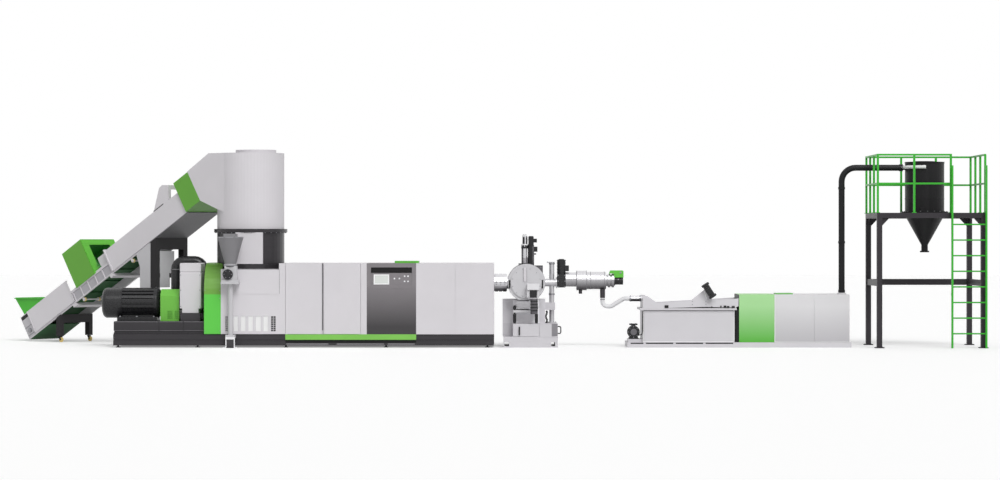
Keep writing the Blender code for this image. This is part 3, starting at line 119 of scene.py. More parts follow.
def finish_of(name, colour, roughness=0.45, metallic=0.0, variation=0.05, grain=60.0, relief=0.15, coat=0.0,
              low_tint=None, fade=(0.3, 1.6), streak=None, sheen_level=0.35, zones=()):
    """Paint, steel or plastic with a mottled colour, uneven gloss and fine relief.

    low_tint colours its lower part. Each zone is (low, high, colour, roughness, metallic) or the same with a
    space, and is finished in its own way.
    """
    made = bpy.data.materials.new(name)
    made.use_nodes = True
    tree = made.node_tree
    shader = tree.nodes["Principled BSDF"]
    shader.inputs["Metallic"].default_value = metallic
    shader.inputs["Coat Weight"].default_value = coat
    shader.inputs["Specular IOR Level"].default_value = sheen_level
    place = tree.nodes.new("ShaderNodeTexCoord")
    stretch = tree.nodes.new("ShaderNodeMapping")
    stretch.inputs["Scale"].default_value = streak or (1, 1, 1)
    tree.links.new(place.outputs["Object"], stretch.inputs["Vector"])
    broad = tree.nodes.new("ShaderNodeTexNoise")
    broad.inputs["Scale"].default_value = 1.7
    broad.inputs["Detail"].default_value = 4
    fine = tree.nodes.new("ShaderNodeTexNoise")
    fine.inputs["Scale"].default_value = grain
    fine.inputs["Detail"].default_value = 3
    for texture in (broad, fine):
        tree.links.new(stretch.outputs["Vector"], texture.inputs["Vector"])
    tone = tree.nodes.new("ShaderNodeValToRGB")
    tone.color_ramp.elements[0].position = 0.3
    tone.color_ramp.elements[1].position = 0.7
    tone.color_ramp.elements[0].color = (*[c * (1 - variation) for c in colour], 1)
    tone.color_ramp.elements[1].color = (*[min(1.0, c * (1 + variation)) for c in colour], 1)
    tree.links.new(broad.outputs["Fac"], tone.inputs["Fac"])
    colour_out = tone.outputs["Color"]
    if low_tint:
        height = tree.nodes.new("ShaderNodeSeparateXYZ")
        tree.links.new(place.outputs["Object"], height.inputs["Vector"])
        span = tree.nodes.new("ShaderNodeMapRange")
        span.inputs["From Min"].default_value = fade[0]
        span.inputs["From Max"].default_value = fade[1]
        tree.links.new(height.outputs["Z"], span.inputs["Value"])
        colour_out = mixed(tree, "RGBA", span.outputs["Result"], low_tint, colour_out)
    gloss = tree.nodes.new("ShaderNodeMapRange")
    gloss.inputs["From Min"].default_value = 0.3
    gloss.inputs["From Max"].default_value = 0.7
    uneven = 0.015 if metallic > 0.35 else 0.07
    gloss.inputs["To Min"].default_value = max(0.05, roughness - uneven)
    gloss.inputs["To Max"].default_value = min(1.0, roughness + uneven)
    tree.links.new(fine.outputs["Fac"], gloss.inputs["Value"])
    rough_out = gloss.outputs["Result"]
    metal_out = metallic
    for low, high, tint, rough, metal, *space in zones:
        mask = within(tree, place, low, high, space[0] if space else LINE)
        colour_out = mixed(tree, "RGBA", mask, colour_out, tint)
        rough_out = mixed(tree, "FLOAT", mask, rough_out, rough)
        if metal != metallic:
            metal_out = mixed(tree, "FLOAT", mask, metal_out, metal)
    tree.links.new(colour_out, shader.inputs["Base Color"])
    tree.links.new(rough_out, shader.inputs["Roughness"])
    if isinstance(metal_out, bpy.types.NodeSocket):
        tree.links.new(metal_out, shader.inputs["Metallic"])
    bump = tree.nodes.new("ShaderNodeBump")
    bump.inputs["Strength"].default_value = relief
    bump.inputs["Distance"].default_value = 0.002
    tree.links.new(fine.outputs["Fac"], bump.inputs["Height"])
    tree.links.new(bump.outputs["Normal"], shader.inputs["Normal"])
    return made


WHITE_TINT = srgb(211, 208, 212)
BLACK_TINT = srgb(30, 30, 32)
DARK_TINT = srgb(50, 49, 52)
PALE_TINT = srgb(206, 205, 208)
BASE_TINT = srgb(58, 56, 59)
GREEN_TINT = srgb(98, 190, 66)
LEAF_TINT = srgb(98, 162, 58)
BELT_TINT = srgb(26, 80, 36)
SEAM_AND_SHADE_TINT = srgb(120, 118, 122)
SHADE_TINT = srgb(172, 170, 175)
SLOT_AND_SHADOW_TINT = srgb(18, 18, 19)
FILTER_TINT = srgb(202, 200, 204)
FILTER_LIT = srgb(252, 251, 254)
RIM_TINT = srgb(170, 168, 172)

WHITE = finish_of("white_paint", WHITE_TINT, 0.42, variation=0.02, relief=0.05)
WHITE_WARM = finish_of("white_skid_paint", srgb(205, 203, 207), 0.45, variation=0.02, relief=0.05)
# Painted shade: the blower cabinet's colour darkens towards the bottom.
WHITE_LOW = finish_of("white_cabinet_paint", srgb(216, 215, 217), 0.45, variation=0.02, relief=0.05,
                      low_tint=srgb(180, 178, 182), fade=(0.05, 0.80),
                      zones=[((5.2, 0.05, 1.0215), (5.7, 0.65, 1.1), srgb(116, 186, 100), 0.4, 0.0)])
FRAME = finish_of("conveyor_frame_paint", WHITE_TINT, 0.42, variation=0.02, relief=0.05,
                  zones=[((-3.50, -0.5802, -0.0115), (-2.32, -0.579, 0.1797), SHADE_TINT, 0.42, 0.0, DECK),
                         ((-3.50, 0.319, -0.0115), (-2.32, 0.3202, 0.1797), SHADE_TINT, 0.42, 0.0, DECK),
                         ((-5.03, -0.569, -0.031), (-4.39, 0.309, -0.0145), BELT_TINT, 0.6, 0.0, DECK),
                         ((-5.03, -0.5802, -0.02), (-4.787, -0.579, 0.39),
                          srgb(186, 184, 188), 0.35, 0.2, DECK)])
LEAF = finish_of("leaf_green_paint", LEAF_TINT, 0.42, variation=0.03, relief=0.05)
# Painted light: the inside of the hood, the second zone, is a pale green that lifts the shade it lies in.
HOOD = finish_of("hood_green_paint", LEAF_TINT, 0.42, variation=0.03, relief=0.05,
                 zones=[((-2.7455, -1, 0), (-2.6, 1, 1.2), srgb(92, 184, 48), 0.35, 0.0, DECK),
                        ((-3.31, -0.606, 0), (-2.7455, 0.346, 0.9755), srgb(112, 196, 112), 0.5, 0.0, DECK)])
BRIGHT = finish_of("bright_green_paint", srgb(72, 176, 52), 0.4, variation=0.04, relief=0.05)
SKIRT = finish_of("skirt_green_paint", srgb(124, 192, 84), 0.4, variation=0.04, relief=0.05)
# Painted shade: the band housing's curved upper part is a darker olive green than its bright green lower part.
BAND = finish_of("band_green_paint", srgb(108, 160, 66), 0.4, variation=0.03, relief=0.05,
                 low_tint=srgb(94, 200, 74), fade=(1.015, 1.035))
GUARD = finish_of("guard_green_paint", srgb(112, 188, 72), 0.4, variation=0.04, relief=0.05)
DRYER = finish_of("dryer_green_paint", srgb(166, 216, 152), 0.45, variation=0.02, relief=0.3, grain=140,
                  low_tint=srgb(84, 172, 58), fade=(0.10, 0.80),
                  zones=[((4.4, -1, 0), (4.5985, 2, 1.1), srgb(20, 20, 21), 0.5, 0.0)])
RAIL = finish_of("rail_green_paint", srgb(56, 172, 46), 0.38, variation=0.05, relief=0.05)
# Painted shadow: a near-black band along the base's front under the green skirt.
BASE = finish_of("base_grey_paint", BASE_TINT, 0.42, variation=0.06, relief=0.08, sheen_level=0.2,
                 zones=[((-4.129, -1, 0.088), (-1.613, 0.022, 0.149), SLOT_AND_SHADOW_TINT, 0.5, 0.0)])
PORTAL = finish_of("portal_black_paint", srgb(36, 34, 36), 0.38, variation=0.06, relief=0.08, sheen_level=0.2)
# Painted shade: the underpan under the upper cover is painted mid grey for its shade.
UNDERPAN = finish_of("underpan_shade_and_edge_grey", SEAM_AND_SHADE_TINT, 0.45, variation=0.05, relief=0.05)
FRAME_DARK = finish_of("platform_grey_paint", srgb(54, 51, 55), 0.42, variation=0.06, relief=0.08,
                       sheen_level=0.2)
MOTOR = finish_of("motor_black_paint", srgb(30, 30, 32), 0.28, variation=0.08, relief=0.08, sheen_level=0.4)
PIPE_BLACK = finish_of("pipe_black", srgb(28, 28, 30), 0.35, variation=0.06, relief=0.05, sheen_level=0.2)
SILO = finish_of("silo_black_paint", srgb(30, 29, 31), 0.36, variation=0.08, relief=0.06, sheen_level=0.2)
DRUM = finish_of("drum_dark_steel", srgb(56, 54, 57), 0.3, metallic=0.4, variation=0.06, relief=0.04,
                 streak=(1, 1, 9))
# Painted shade: the control cabinet's colour darkens towards the bottom.
CONTROL = finish_of("control_grey_paint", srgb(128, 124, 127), 0.4, variation=0.03, relief=0.05,
                    low_tint=srgb(60, 58, 60), fade=(0.40, 1.20),
                    zones=[((-2.2, 0.1, 1.6235), (-1.5, 0.8, 1.7), GREEN_TINT, 0.4, 0.0)])
STEEL = finish_of("pipe_steel", srgb(200, 199, 202), 0.3, metallic=0.5, variation=0.03, relief=0.01)
PUMP_GREY = finish_of("pump_face_grey", srgb(104, 102, 106), 0.3, variation=0.05, relief=0.05)
# Painted reflection: the pelletizer body and the extruder barrel are painted dark on their lower halves.
BODY_STEEL = finish_of("body_steel", srgb(216, 215, 218), 0.28, metallic=0.85, variation=0.03, relief=0.01,
                       low_tint=srgb(70, 68, 71), fade=(1.13, 1.40))
BARREL_STEEL = finish_of("barrel_steel", srgb(222, 221, 224), 0.3, metallic=0.85, variation=0.03, relief=0.01,
                         low_tint=srgb(92, 90, 93), fade=(1.09, 1.22))
GREY = finish_of("machine_grey_paint", srgb(194, 193, 196), 0.42, variation=0.03, relief=0.06)
FUNNEL = finish_of("funnel_steel", srgb(128, 127, 130), 0.42, metallic=0.3, variation=0.02, relief=0.01)
BELT = finish_of("belt_rubber", BELT_TINT, 0.6, variation=0.12, relief=0.4, grain=220)
RUBBER = finish_of("black_rubber", srgb(24, 24, 25), 0.7, variation=0.15, relief=0.4, grain=180)
HOSE = finish_of("white_hose", srgb(226, 226, 228), 0.4, variation=0.03, relief=0.1)
WHEEL = finish_of("caster_nylon", srgb(214, 190, 122), 0.5, variation=0.06, relief=0.15)
BOLT = finish_of("zinc_bolts", srgb(150, 150, 154), 0.35, metallic=0.9, variation=0.1, relief=0.05)
SCREEN = finish_of("screen_glass", srgb(214, 218, 214), 0.15, variation=0.02, relief=0.0, coat=0.6)
BEZEL = finish_of("screen_bezel", srgb(238, 238, 238), 0.4, variation=0.02, relief=0.02)
LAMP = finish_of("lamp_white", srgb(244, 244, 244), 0.25, variation=0.02, relief=0.0, coat=0.5)
DARK = finish_of("recess_black", srgb(24, 23, 24), 0.5, variation=0.1, relief=0.05)
SEAM_AND_SHADE = finish_of("seam_and_shade_grey", SEAM_AND_SHADE_TINT, 0.5, variation=0.05, relief=0.05)

GEARBOX = finish_of("gearbox_paint", WHITE_TINT, 0.42, variation=0.02, relief=0.05,
                    zones=[((-6.3, 0, 0.3), (-5.6, 1.3, 0.6605), BASE_TINT, 0.42, 0.0)])
DRUM_WHITE = finish_of("filter_body_paint", srgb(200, 199, 202), 0.38, variation=0.02, relief=0.05,
                       zones=[((0.16, 0.0, 1.13), (0.199, 0.0497, 1.31), SLOT_AND_SHADOW_TINT, 0.4, 0.0),
                              ((0.8015, 0.0, 1.13), (0.84, 0.0497, 1.31), SLOT_AND_SHADOW_TINT, 0.4, 0.0)])
# Painted light: the face behind the lift, the hollow there and the box in front of it are painted brighter, up
# to near white, to lift their shade.
FILTER_CASE = finish_of("filter_cabinet_paint", FILTER_TINT, 0.42, variation=0.02, relief=0.05,
                        zones=[((1.1135, 0, 0.2), (1.3, 0.4, 0.5), DARK_TINT, 0.4, 0.0),
                               ((0.0, 0.4495, 0.459), (0.88, 1.4, 1.0), srgb(212, 210, 214), 0.42, 0.0),
                               ((0.25, 0.4490, 0.459), (0.76, 0.452, 0.90), FILTER_LIT, 0.42, 0.0),
                               ((0.30, 0.29, 0.73), (0.61, 0.4485, 0.89), FILTER_LIT, 0.42, 0.0),
                               ((0.897, 0.0, 0.2165), (1.1125, 0.2195, 0.456),
                                srgb(140, 138, 142), 0.42, 0.0)])
FILTER_DOOR = finish_of("filter_door_paint", FILTER_TINT, 0.42, variation=0.02, relief=0.05,
                        zones=[((0.3, -0.1, 0.2), (0.45, -0.0005, 0.45), BLACK_TINT, 0.4, 0.0)])
RAM = finish_of("ram_chrome", srgb(205, 205, 208), 0.18, metallic=0.9, variation=0.03, relief=0.02,
                zones=[((0.545, 0.3, 1.3), (0.9, 0.9, 2.3), BLACK_TINT, 0.35, 0.0),
                       ((0.3, 0.3, 1.3), (0.9, 0.9, 1.618), DARK_TINT, 0.35, 0.3),
                       ((0.3, 0.3, 1.575), (0.4385, 0.9, 1.93), BLACK_TINT, 0.35, 0.0),
                       ((0.4385, 0.3, 1.618), (0.545, 0.9, 1.72), RIM_TINT, 0.3, 0.4),
                       ((0.3, 0.3, 1.905), (0.545, 0.9, 1.940), BLACK_TINT, 0.35, 0.0),
                       ((0.675, 0.3, 1.3), (0.82, 0.481, 1.56), srgb(96, 94, 98), 0.35, 0.2)])
HANGING = finish_of("filter_motor_paint", BLACK_TINT, 0.35, variation=0.05, relief=0.06,
                    zones=[((0.4, -0.3, 1.1085), (0.8, 0.1, 1.3), srgb(222, 221, 224), 0.4, 0.0),
                           ((0.5, -0.3, 0.9615), (0.573, 0.1, 1.1085), PALE_TINT, 0.4, 0.0),
                           ((0.7075, -0.3, 0.9615), (0.8, 0.1, 1.1085), PALE_TINT, 0.4, 0.0),
                           ((0.5, -0.3, 0.937), (0.8, 0.1, 0.9615), RIM_TINT, 0.4, 0.3),
                           ((0.5, -0.3, 0.6), (0.8, 0.1, 0.937), srgb(92, 90, 94), 0.3, 0.6)])
LIFT = finish_of("lift_black", BLACK_TINT, 0.35, variation=0.05, relief=0.06,
                 zones=[((0.2, 0.1, 0.6685), (0.8, 0.5, 0.7155), PALE_TINT, 0.4, 0.0)])
VALVE = finish_of("valve_grey_paint", srgb(192, 191, 194), 0.4, variation=0.03, relief=0.06,
                  zones=[((-5.4, -0.4, 1.305), (-5.0, -0.2505, 1.6), srgb(44, 43, 46), 0.2, 0.3),
                         ((-5.4, -0.6, -0.1), (-4.9, 0.2, 0.21), srgb(232, 231, 234), 0.4, 0.0),
                         ((-5.24, -0.4, 0.0), (-5.10, -0.2, 0.165), BASE_TINT, 0.45, 0.0)])
CUTTER = finish_of("cutter_black_paint", BLACK_TINT, 0.32, variation=0.06, relief=0.08,
                   zones=[((2.1, 0.6, 1.3395), (2.5, 0.9, 1.5), GREEN_TINT, 0.38, 0.0)])
# Painted reflection: the inlet pipe's lower half is painted dark and its upper half light.
SIEVE = finish_of("sieve_paint", srgb(208, 206, 210), 0.42, variation=0.02, relief=0.05,
                  zones=[((2.4, 0.6, 0.80), (2.7455, 0.9, 0.922), srgb(66, 64, 67), 0.2, 0.8),
                         ((2.4, 0.6, 0.922), (2.7455, 0.9, 1.1), srgb(214, 213, 216), 0.2, 0.8)])

FINISHES = {
    BASE: ["base_frame"],
    PORTAL: ["lower_portal", "upper_portal"],
    UNDERPAN: ["conveyor_underpan"],
    FRAME: ["conveyor_frame"],
    WHITE: ["lower_trough", "upper_cover", "belt_tunnel", "tower_hood", "tower_shell", "drum_door",
            "compactor_cabinet", "extruder_housing", "extruder_door_left", "extruder_door_right",
            "right_housing", "tower_lid"],
    GEARBOX: ["gearbox"],
    DRUM_WHITE: ["filter_drum"],
    FILTER_CASE: ["filter_cabinet"],
    FILTER_DOOR: ["filter_door"],
    WHITE_WARM: ["water_tank"],
    SIEVE: ["sieve_box"],
    WHITE_LOW: ["blower_cabinet"],
    LEAF: ["infeed_collar"],
    HOOD: ["loading_hood"],
    BRIGHT: ["feed_hopper"],
    SKIRT: ["green_skirt"],
    BAND: ["band_housing"],
    GUARD: ["coupling_guard"],
    DRYER: ["dryer_cabinet"],
    RAIL: ["handrail", "ladder"],
    FRAME_DARK: ["platform_frame"],
    MOTOR: ["drive_motor", "air_duct", "pelletizer_motor", "vibration_motor", "water_pump"],
    HANGING: ["filter_motor"],
    LIFT: ["filter_lift"],
    CUTTER: ["cutter_motor"],
    PIPE_BLACK: ["conveying_pipe"],
    SILO: ["silo_shell", "silo_lid"],
    DRUM: ["compactor_drum"],
    CONTROL: ["control_cabinet"],
    BODY_STEEL: ["pelletizer_body"],
    BARREL_STEEL: ["extruder_barrel"],
    STEEL: ["melt_pipe"],
    RAM: ["filter_ram"],
    GREY: ["conveyor_control_box"],
    VALVE: ["dosing_valve"],
    FUNNEL: ["dosing_funnel"],
    BELT: ["conveyor_belt"],
    HOSE: ["slurry_pipe"],
    WHEEL: ["caster_wheel_near", "caster_wheel_far"],
    RUBBER: ["caster_fork_near", "caster_fork_far"],
}
for finish, names in FINISHES.items():
    for name in names:
        for slot in nodes[name].material_slots:
            slot.material = finish


class Piece:
    """Collects boxes, rods and plates in one mesh, in the line's, the run's or the deck's coordinates."""

    def __init__(self, name, finish, space=LINE, body="line"):
        self.name = name
        self.finish = finish
        self.space = space
        self.body = body
        self.bm = bmesh.new()

    def box(self, x0, x1, y0, y1, z0, z1, bevel=0.0):
        size = Matrix.Diagonal((x1 - x0, y1 - y0, z1 - z0, 1))
        place = self.space @ Matrix.Translation(((x0 + x1) / 2, (y0 + y1) / 2, (z0 + z1) / 2))
        made = bmesh.ops.create_cube(self.bm, size=1.0, matrix=place @ size)
        if bevel:
            edges = {edge for corner in made["verts"] for edge in corner.link_edges}
            bmesh.ops.bevel(self.bm, geom=list(edges), offset=bevel, segments=2, affect="EDGES",
                            clamp_overlap=True)

    def rod(self, start, end, radius, sides=16, tip=None):
        start = Vector(start)
        end = Vector(end)
        turn = (end - start).to_track_quat("Z", "Y").to_matrix().to_4x4()
        place = self.space @ Matrix.Translation((start + end) / 2) @ turn
        bmesh.ops.create_cone(self.bm, cap_ends=True, segments=sides, radius1=radius,
                              radius2=radius if tip is None else tip, depth=(end - start).length,
                              matrix=place)

    def plate(self, outline, axis, low, high):
        def put(a, b, along):
            return self.space @ Vector({"x": (along, a, b), "y": (a, along, b), "z": (a, b, along)}[axis])
        under = [self.bm.verts.new(put(a, b, low)) for a, b in outline]
        over = [self.bm.verts.new(put(a, b, high)) for a, b in outline]
        self.bm.faces.new(under)
        self.bm.faces.new(reversed(over))
        for i in range(len(outline)):
            j = (i + 1) % len(outline)
            self.bm.faces.new((under[i], over[i], over[j], under[j]))

    def turned(self, outline, centre, axis="z", sides=48):
        """Ring from a closed (radius, height) outline."""
        rows = []
        for i in range(sides):
            angle = 2 * math.pi * (i + 0.5) / sides
            row = []
            for radius, height in outline:
                a = radius * math.cos(angle)
                b = radius * math.sin(angle)
                step = Vector({"z": (a, b, height), "x": (height, a, b), "y": (a, height, b)}[axis])
                row.append(self.bm.verts.new(self.space @ (Vector(centre) + step)))
            rows.append(row)
        for i in range(sides):
            ahead = rows[(i + 1) % sides]
            for j in range(len(outline)):
                k = (j + 1) % len(outline)
                self.bm.faces.new((rows[i][j], rows[i][k], ahead[k], ahead[j]))

    def ring(self, inner, outer, low, high, centre, axis="z", sides=48):
        """Ring with square edges."""
        self.turned([(inner, low), (outer, low), (outer, high), (inner, high)], centre, axis, sides)

    def tube(self, path, radius, sides=12):
        """Round bar along a path of points."""
        path = [self.space @ Vector(point) for point in path]
        first = None
        rows = []
        for i, point in enumerate(path):
            before = path[max(i, 1)] - path[max(i, 1) - 1]
            after = path[min(i + 1, len(path) - 1)] - path[min(i, len(path) - 2)]
            along = (before.normalized() + after.normalized()).normalized()
            if first is None:
                first = along.orthogonal()
            first = (first - along * first.dot(along)).normalized()
            second = along.cross(first)
            row = []
            for k in range(sides):
                angle = 2 * math.pi * k / sides
                step = math.cos(angle) * first + math.sin(angle) * second
                row.append(self.bm.verts.new(point + radius * step))
            rows.append(row)
        for near, far in zip(rows, rows[1:]):
            for k in range(sides):
                j = (k + 1) % sides
                self.bm.faces.new((near[k], near[j], far[j], far[k]))
        self.bm.faces.new(reversed(rows[0]))
        self.bm.faces.new(rows[-1])

    def made(self):
        bmesh.ops.recalc_face_normals(self.bm, faces=self.bm.faces)
        mesh = bpy.data.meshes.new(self.name)
        self.bm.to_mesh(mesh)
        self.bm.free()
        mesh.materials.append(self.finish)
        mesh.shade_smooth()
        mesh.set_sharp_from_angle(angle=math.radians(35))
        made = bpy.data.objects.new(self.name, mesh)
        bpy.context.scene.collection.objects.link(made)
        return made

    def done(self, replaced=None):
        made = self.made()
        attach(made, self.body)
        if replaced:
            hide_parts(replaced)


def bolt_ring(piece, centre, axis, radius, count, head, high, turn=0.0):
    """Six-sided heads around an axis, standing up from centre towards the axis's sign."""
    way = {"x": Vector((1, 0, 0)), "y": Vector((0, 1, 0)), "z": Vector((0, 0, 1))}[axis[-1]]
    way = -way if axis[0] == "-" else way
    for k in range(count):
        angle = turn + 2 * math.pi * k / count
        a = radius * math.cos(angle)
        b = radius * math.sin(angle)
        step = {"x": Vector((0, a, b)), "y": Vector((a, 0, b)), "z": Vector((a, b, 0))}[axis[-1]]
        foot = Vector(centre) + step
        piece.rod(foot, foot + way * high, head, 6)


# Edges and axes of the CAD nodes that the small pieces sit on.
NEAR = -0.60
FAR = 0.34
COVER_HIGH = 0.455
SCREW_Y = 0.75
SCREW_Z = 1.28
DRIVE_Z = 0.847
FUNNEL_X = -5.170
FUNNEL_Y = -0.15
KNOB_X = -5.21
KNOB_Z = 1.411
DRUM_X = 0.508
DRUM_Z = 1.248
STAND_X = 1.008
RAM_X = 0.48
RAM_Y = 0.60
HANG_X = 0.655
HANG_Y = -0.09
GEAR_X = 1.1935
PUMP_X = 2.577
PUMP_Z = 0.296
HOSE_Z = 0.93
PIPE_X = 6.635
PIPE_Y = 0.60
SILO_X = 8.246
SILO_Y = 0.60

# Control cabinet: slot, screen and lamps with their collars.
slot_back = Piece("control_slot_back", DARK)
slot_back.box(-2.482, -1.695, 0.030, 0.0495, 1.441, 1.5415)
for k in range(6):
    slot_back.box(-2.480, -1.697, 0.018, 0.031, 1.447 + 0.016 * k, 1.453 + 0.016 * k, 0.001)
slot_back.done()
bezel = Piece("control_screen_bezel", BEZEL)
for left, right, low, high in ((-2.430, -2.130, 1.384, 1.408), (-2.430, -2.130, 1.212, 1.236),
                               (-2.430, -2.404, 1.236, 1.384), (-2.156, -2.130, 1.236, 1.384)):
    bezel.box(left, right, -0.001, 0.0027, low, high, 0.001)
bezel.done()
screen = Piece("control_screen", SCREEN)
screen.box(-2.404, -2.156, 0.0, 0.0027, 1.236, 1.384, 0.001)
for z in (1.262, 1.288, 1.330):
    screen.box(-2.390, -2.290, -0.001, 0.0003, z, z + 0.006)
screen.done()
LAMP_SPOTS = ((-2.031, 1.327), (-1.936, 1.327), (-1.835, 1.373), (-1.769, 1.373),
              (-1.835, 1.273), (-1.769, 1.273))
lamps = Piece("control_lamps", LAMP)
for x, z in LAMP_SPOTS:
    lamps.rod((x, 0.013, z), (x, 0.002, z), 0.016, 20, 0.013)
lamps.done()
collars = Piece("control_lamp_collars", BOLT)
for x, z in LAMP_SPOTS:
    collars.ring(0.015, 0.021, 0.006, 0.0125, (x, 0, z), "y", 20)
collars.done()

# Compactor cabinet: ventilation slots, two dark with a grid and five light.
VENT_LOW = 0.313
VENT_HIGH = 0.602
DARK_VENTS = ((-5.280, -5.240), (-4.404, -4.314))
LIGHT_VENTS = ((-5.125, -5.04), (-4.985, -4.895), (-4.842, -4.752), (-4.70, -4.60), (-4.552, -4.462))
dark = Piece("cabinet_vents_dark", DARK)
slats = Piece("cabinet_vent_slats", WHITE)
light = Piece("cabinet_vents_light", BEZEL)
for left, right in DARK_VENTS:
    dark.box(left + 0.001, right - 0.001, 0.014, 0.0195, VENT_LOW + 0.001, VENT_HIGH - 0.001)
    for k in range(1, 8):
        low = VENT_LOW + (VENT_HIGH - VENT_LOW) * k / 8
        slats.box(left + 0.002, right - 0.002, 0.004, 0.016, low - 0.004, low + 0.004)
    slats.box((left + right) / 2 - 0.004, (left + right) / 2 + 0.004, 0.004, 0.016, VENT_LOW, VENT_HIGH)
for left, right in LIGHT_VENTS:
    light.box(left + 0.001, right - 0.001, 0.010, 0.0195, VENT_LOW + 0.001, VENT_HIGH - 0.001)
    for k in range(1, 12):
        low = VENT_LOW + (VENT_HIGH - VENT_LOW) * k / 12
        light.box(left + 0.003, right - 0.003, 0.004, 0.012, low - 0.003, low + 0.003)
for piece in (dark, slats, light):
    piece.done()

# Conveyor: tail opening and tensioners, roller tyres, trough flanges, skirts under the upper cover, seams
# of the tunnel and rims of the loading hood.
bracket = Piece("tail_opening", DARK, DECK)
bracket.box(-5.005, -4.795, -0.5815, -0.5797, 0.395, 0.468)
bracket.box(-5.005, -4.795, 0.3197, 0.3215, 0.395, 0.468)
bracket.done()
tension = Piece("tail_tensioners", BOLT, DECK)
for near, far in ((-0.600, -0.5797), (0.3197, 0.340)):
    outer = near if near < 0 else far
    inner = far if near < 0 else near
    tension.rod((-4.91, inner, 0.125), (-4.91, outer, 0.125), 0.052, 24, 0.048)
    tension.rod((-4.91, inner, 0.125), (-4.91, outer - 0.006 * (1 if near < 0 else -1), 0.125), 0.026, 20)
    tension.box(-5.0, -4.82, min(inner, (inner + outer) / 2), max(inner, (inner + outer) / 2), 0.205, 0.222)
    tension.box(-5.0, -4.82, min(inner, (inner + outer) / 2), max(inner, (inner + outer) / 2), 0.030, 0.047)
tension.done()
tyres = Piece("idler_tyres", WHEEL, DECK)
for along in (-3.30, -1.765):
    for across in (-0.54, -0.13, 0.28):
        tyres.turned([(0.0352, -0.022), (0.040, -0.018), (0.040, 0.018), (0.0352, 0.022)],
                     (along, across, -0.075), "y", 28)
tyres.done()
flange = Piece("trough_end_flanges", WHITE, DECK)
for along in (-3.528, -4.786):
    for near, far in ((NEAR - 0.012, NEAR - 0.0003), (FAR + 0.0003, FAR + 0.012)):
        flange.box(along, along + 0.022, near, far, 0.002, 0.484, 0.002)
for near, far in ((NEAR - 0.010, NEAR - 0.0003), (FAR + 0.0003, FAR + 0.010)):
    flange.box(-4.764, -3.530, near, far, 0.002, 0.018, 0.002)
flange.done()
skirt = Piece("cover_skirts", WHITE, DECK)
for near in (NEAR + 0.085, FAR - 0.10):
    skirt.plate([(-2.60, 0.47), (-2.60, 0.30), (-2.54, 0.205), (-2.3005, 0.24), (-2.3005, 0.47)],
                "y", near, near + 0.015)
    skirt.box(-2.325, -2.3005, near - 0.02, near + 0.035, 0.24, 0.47, 0.002)
skirt.done()
tunnel_seam = Piece("tunnel_seams", DARK, DECK)
for near, far in ((NEAR - 0.0030, NEAR - 0.0003), (FAR + 0.0003, FAR + 0.0030)):
    tunnel_seam.box(-0.755, -0.46, near, far, COVER_HIGH - 0.004, COVER_HIGH + 0.012)
tunnel_seam.done()
hood_edge = Piece("hood_rim_edges", HOOD, DECK)
for near in (NEAR - 0.020, FAR + 0.008):
    hood_edge.box(-2.742, -2.726, near, near + 0.012, 0.24, 0.985, 0.003)
hood_edge.box(-2.742, -2.726, NEAR - 0.02, FAR + 0.02, 0.979, 0.991, 0.003)
for near, far in ((NEAR + 0.0803, NEAR + 0.17), (FAR - 0.17, FAR - 0.0803)):
    hood_edge.box(-2.7435, -2.7305, near, far, 0.2805, 0.8895, 0.002)
for near, far in ((NEAR + 0.0203, NEAR + 0.0803), (FAR - 0.0803, FAR - 0.0203)):
    hood_edge.box(-2.7435, -2.7305, near, far, 0.205, 0.4995, 0.002)
hood_edge.box(-2.7435, -2.7305, NEAR + 0.17, FAR - 0.17, 0.865, 0.8895, 0.002)
hood_edge.box(-2.7435, -2.7305, NEAR + 0.17, FAR - 0.17, 0.2805, 0.33, 0.002)
hood_edge.done()

# Drive and housings: bolts, rings on the motor, flanges on the duct, trims, a dark strip of painted shade
# in the gap between the two door leaves and edges along the base.
drive = Piece("drive_bolts", BOLT)
for x in (-7.36, -7.04, -6.71):
    for y in (0.475, 1.025):
        drive.rod((x, y, 0.5771), (x, y, 0.593), 0.018, 6)
        drive.rod((x, y, 0.593), (x, y, 0.600), 0.009, 8)
bolt_ring(drive, (-6.597, SCREW_Y, DRIVE_Z), "x", 0.19, 8, 0.012, 0.010, math.pi / 8)
for x in (-6.17, -5.80):
    for z in (0.79, 1.10, 1.39):
        drive.rod((x, 0.3002, z), (x, 0.293, z), 0.010, 6)
drive.done()
rings = Piece("motor_rings", MOTOR)
for x, low in ((-7.345, 0.2932), (-6.70, 0.3032)):
    rings.turned([(low, -0.009), (low + 0.008, -0.007), (low + 0.008, 0.007), (low, 0.009)],
                 (x, SCREW_Y, DRIVE_Z), "x", 48)
rings.done()
collar = Piece("duct_flanges", SEAM_AND_SHADE)
for x in (-6.36, -5.83):
    collar.ring(0.1003, 0.128, 0.501, 0.513, (x, 1.28, 0), "z", 32)
    collar.ring(0.1003, 0.112, 1.486, 1.500, (x, 1.28, 0), "z", 32)
collar.done()
trim = Piece("cabinet_trim", SEAM_AND_SHADE)
trim.box(-4.246, -4.2405, -0.0025, -0.0003, 1.035, 1.505)
trim.box(-5.10, -4.25, -0.0015, -0.0003, 1.4995, 1.505)
trim.done()
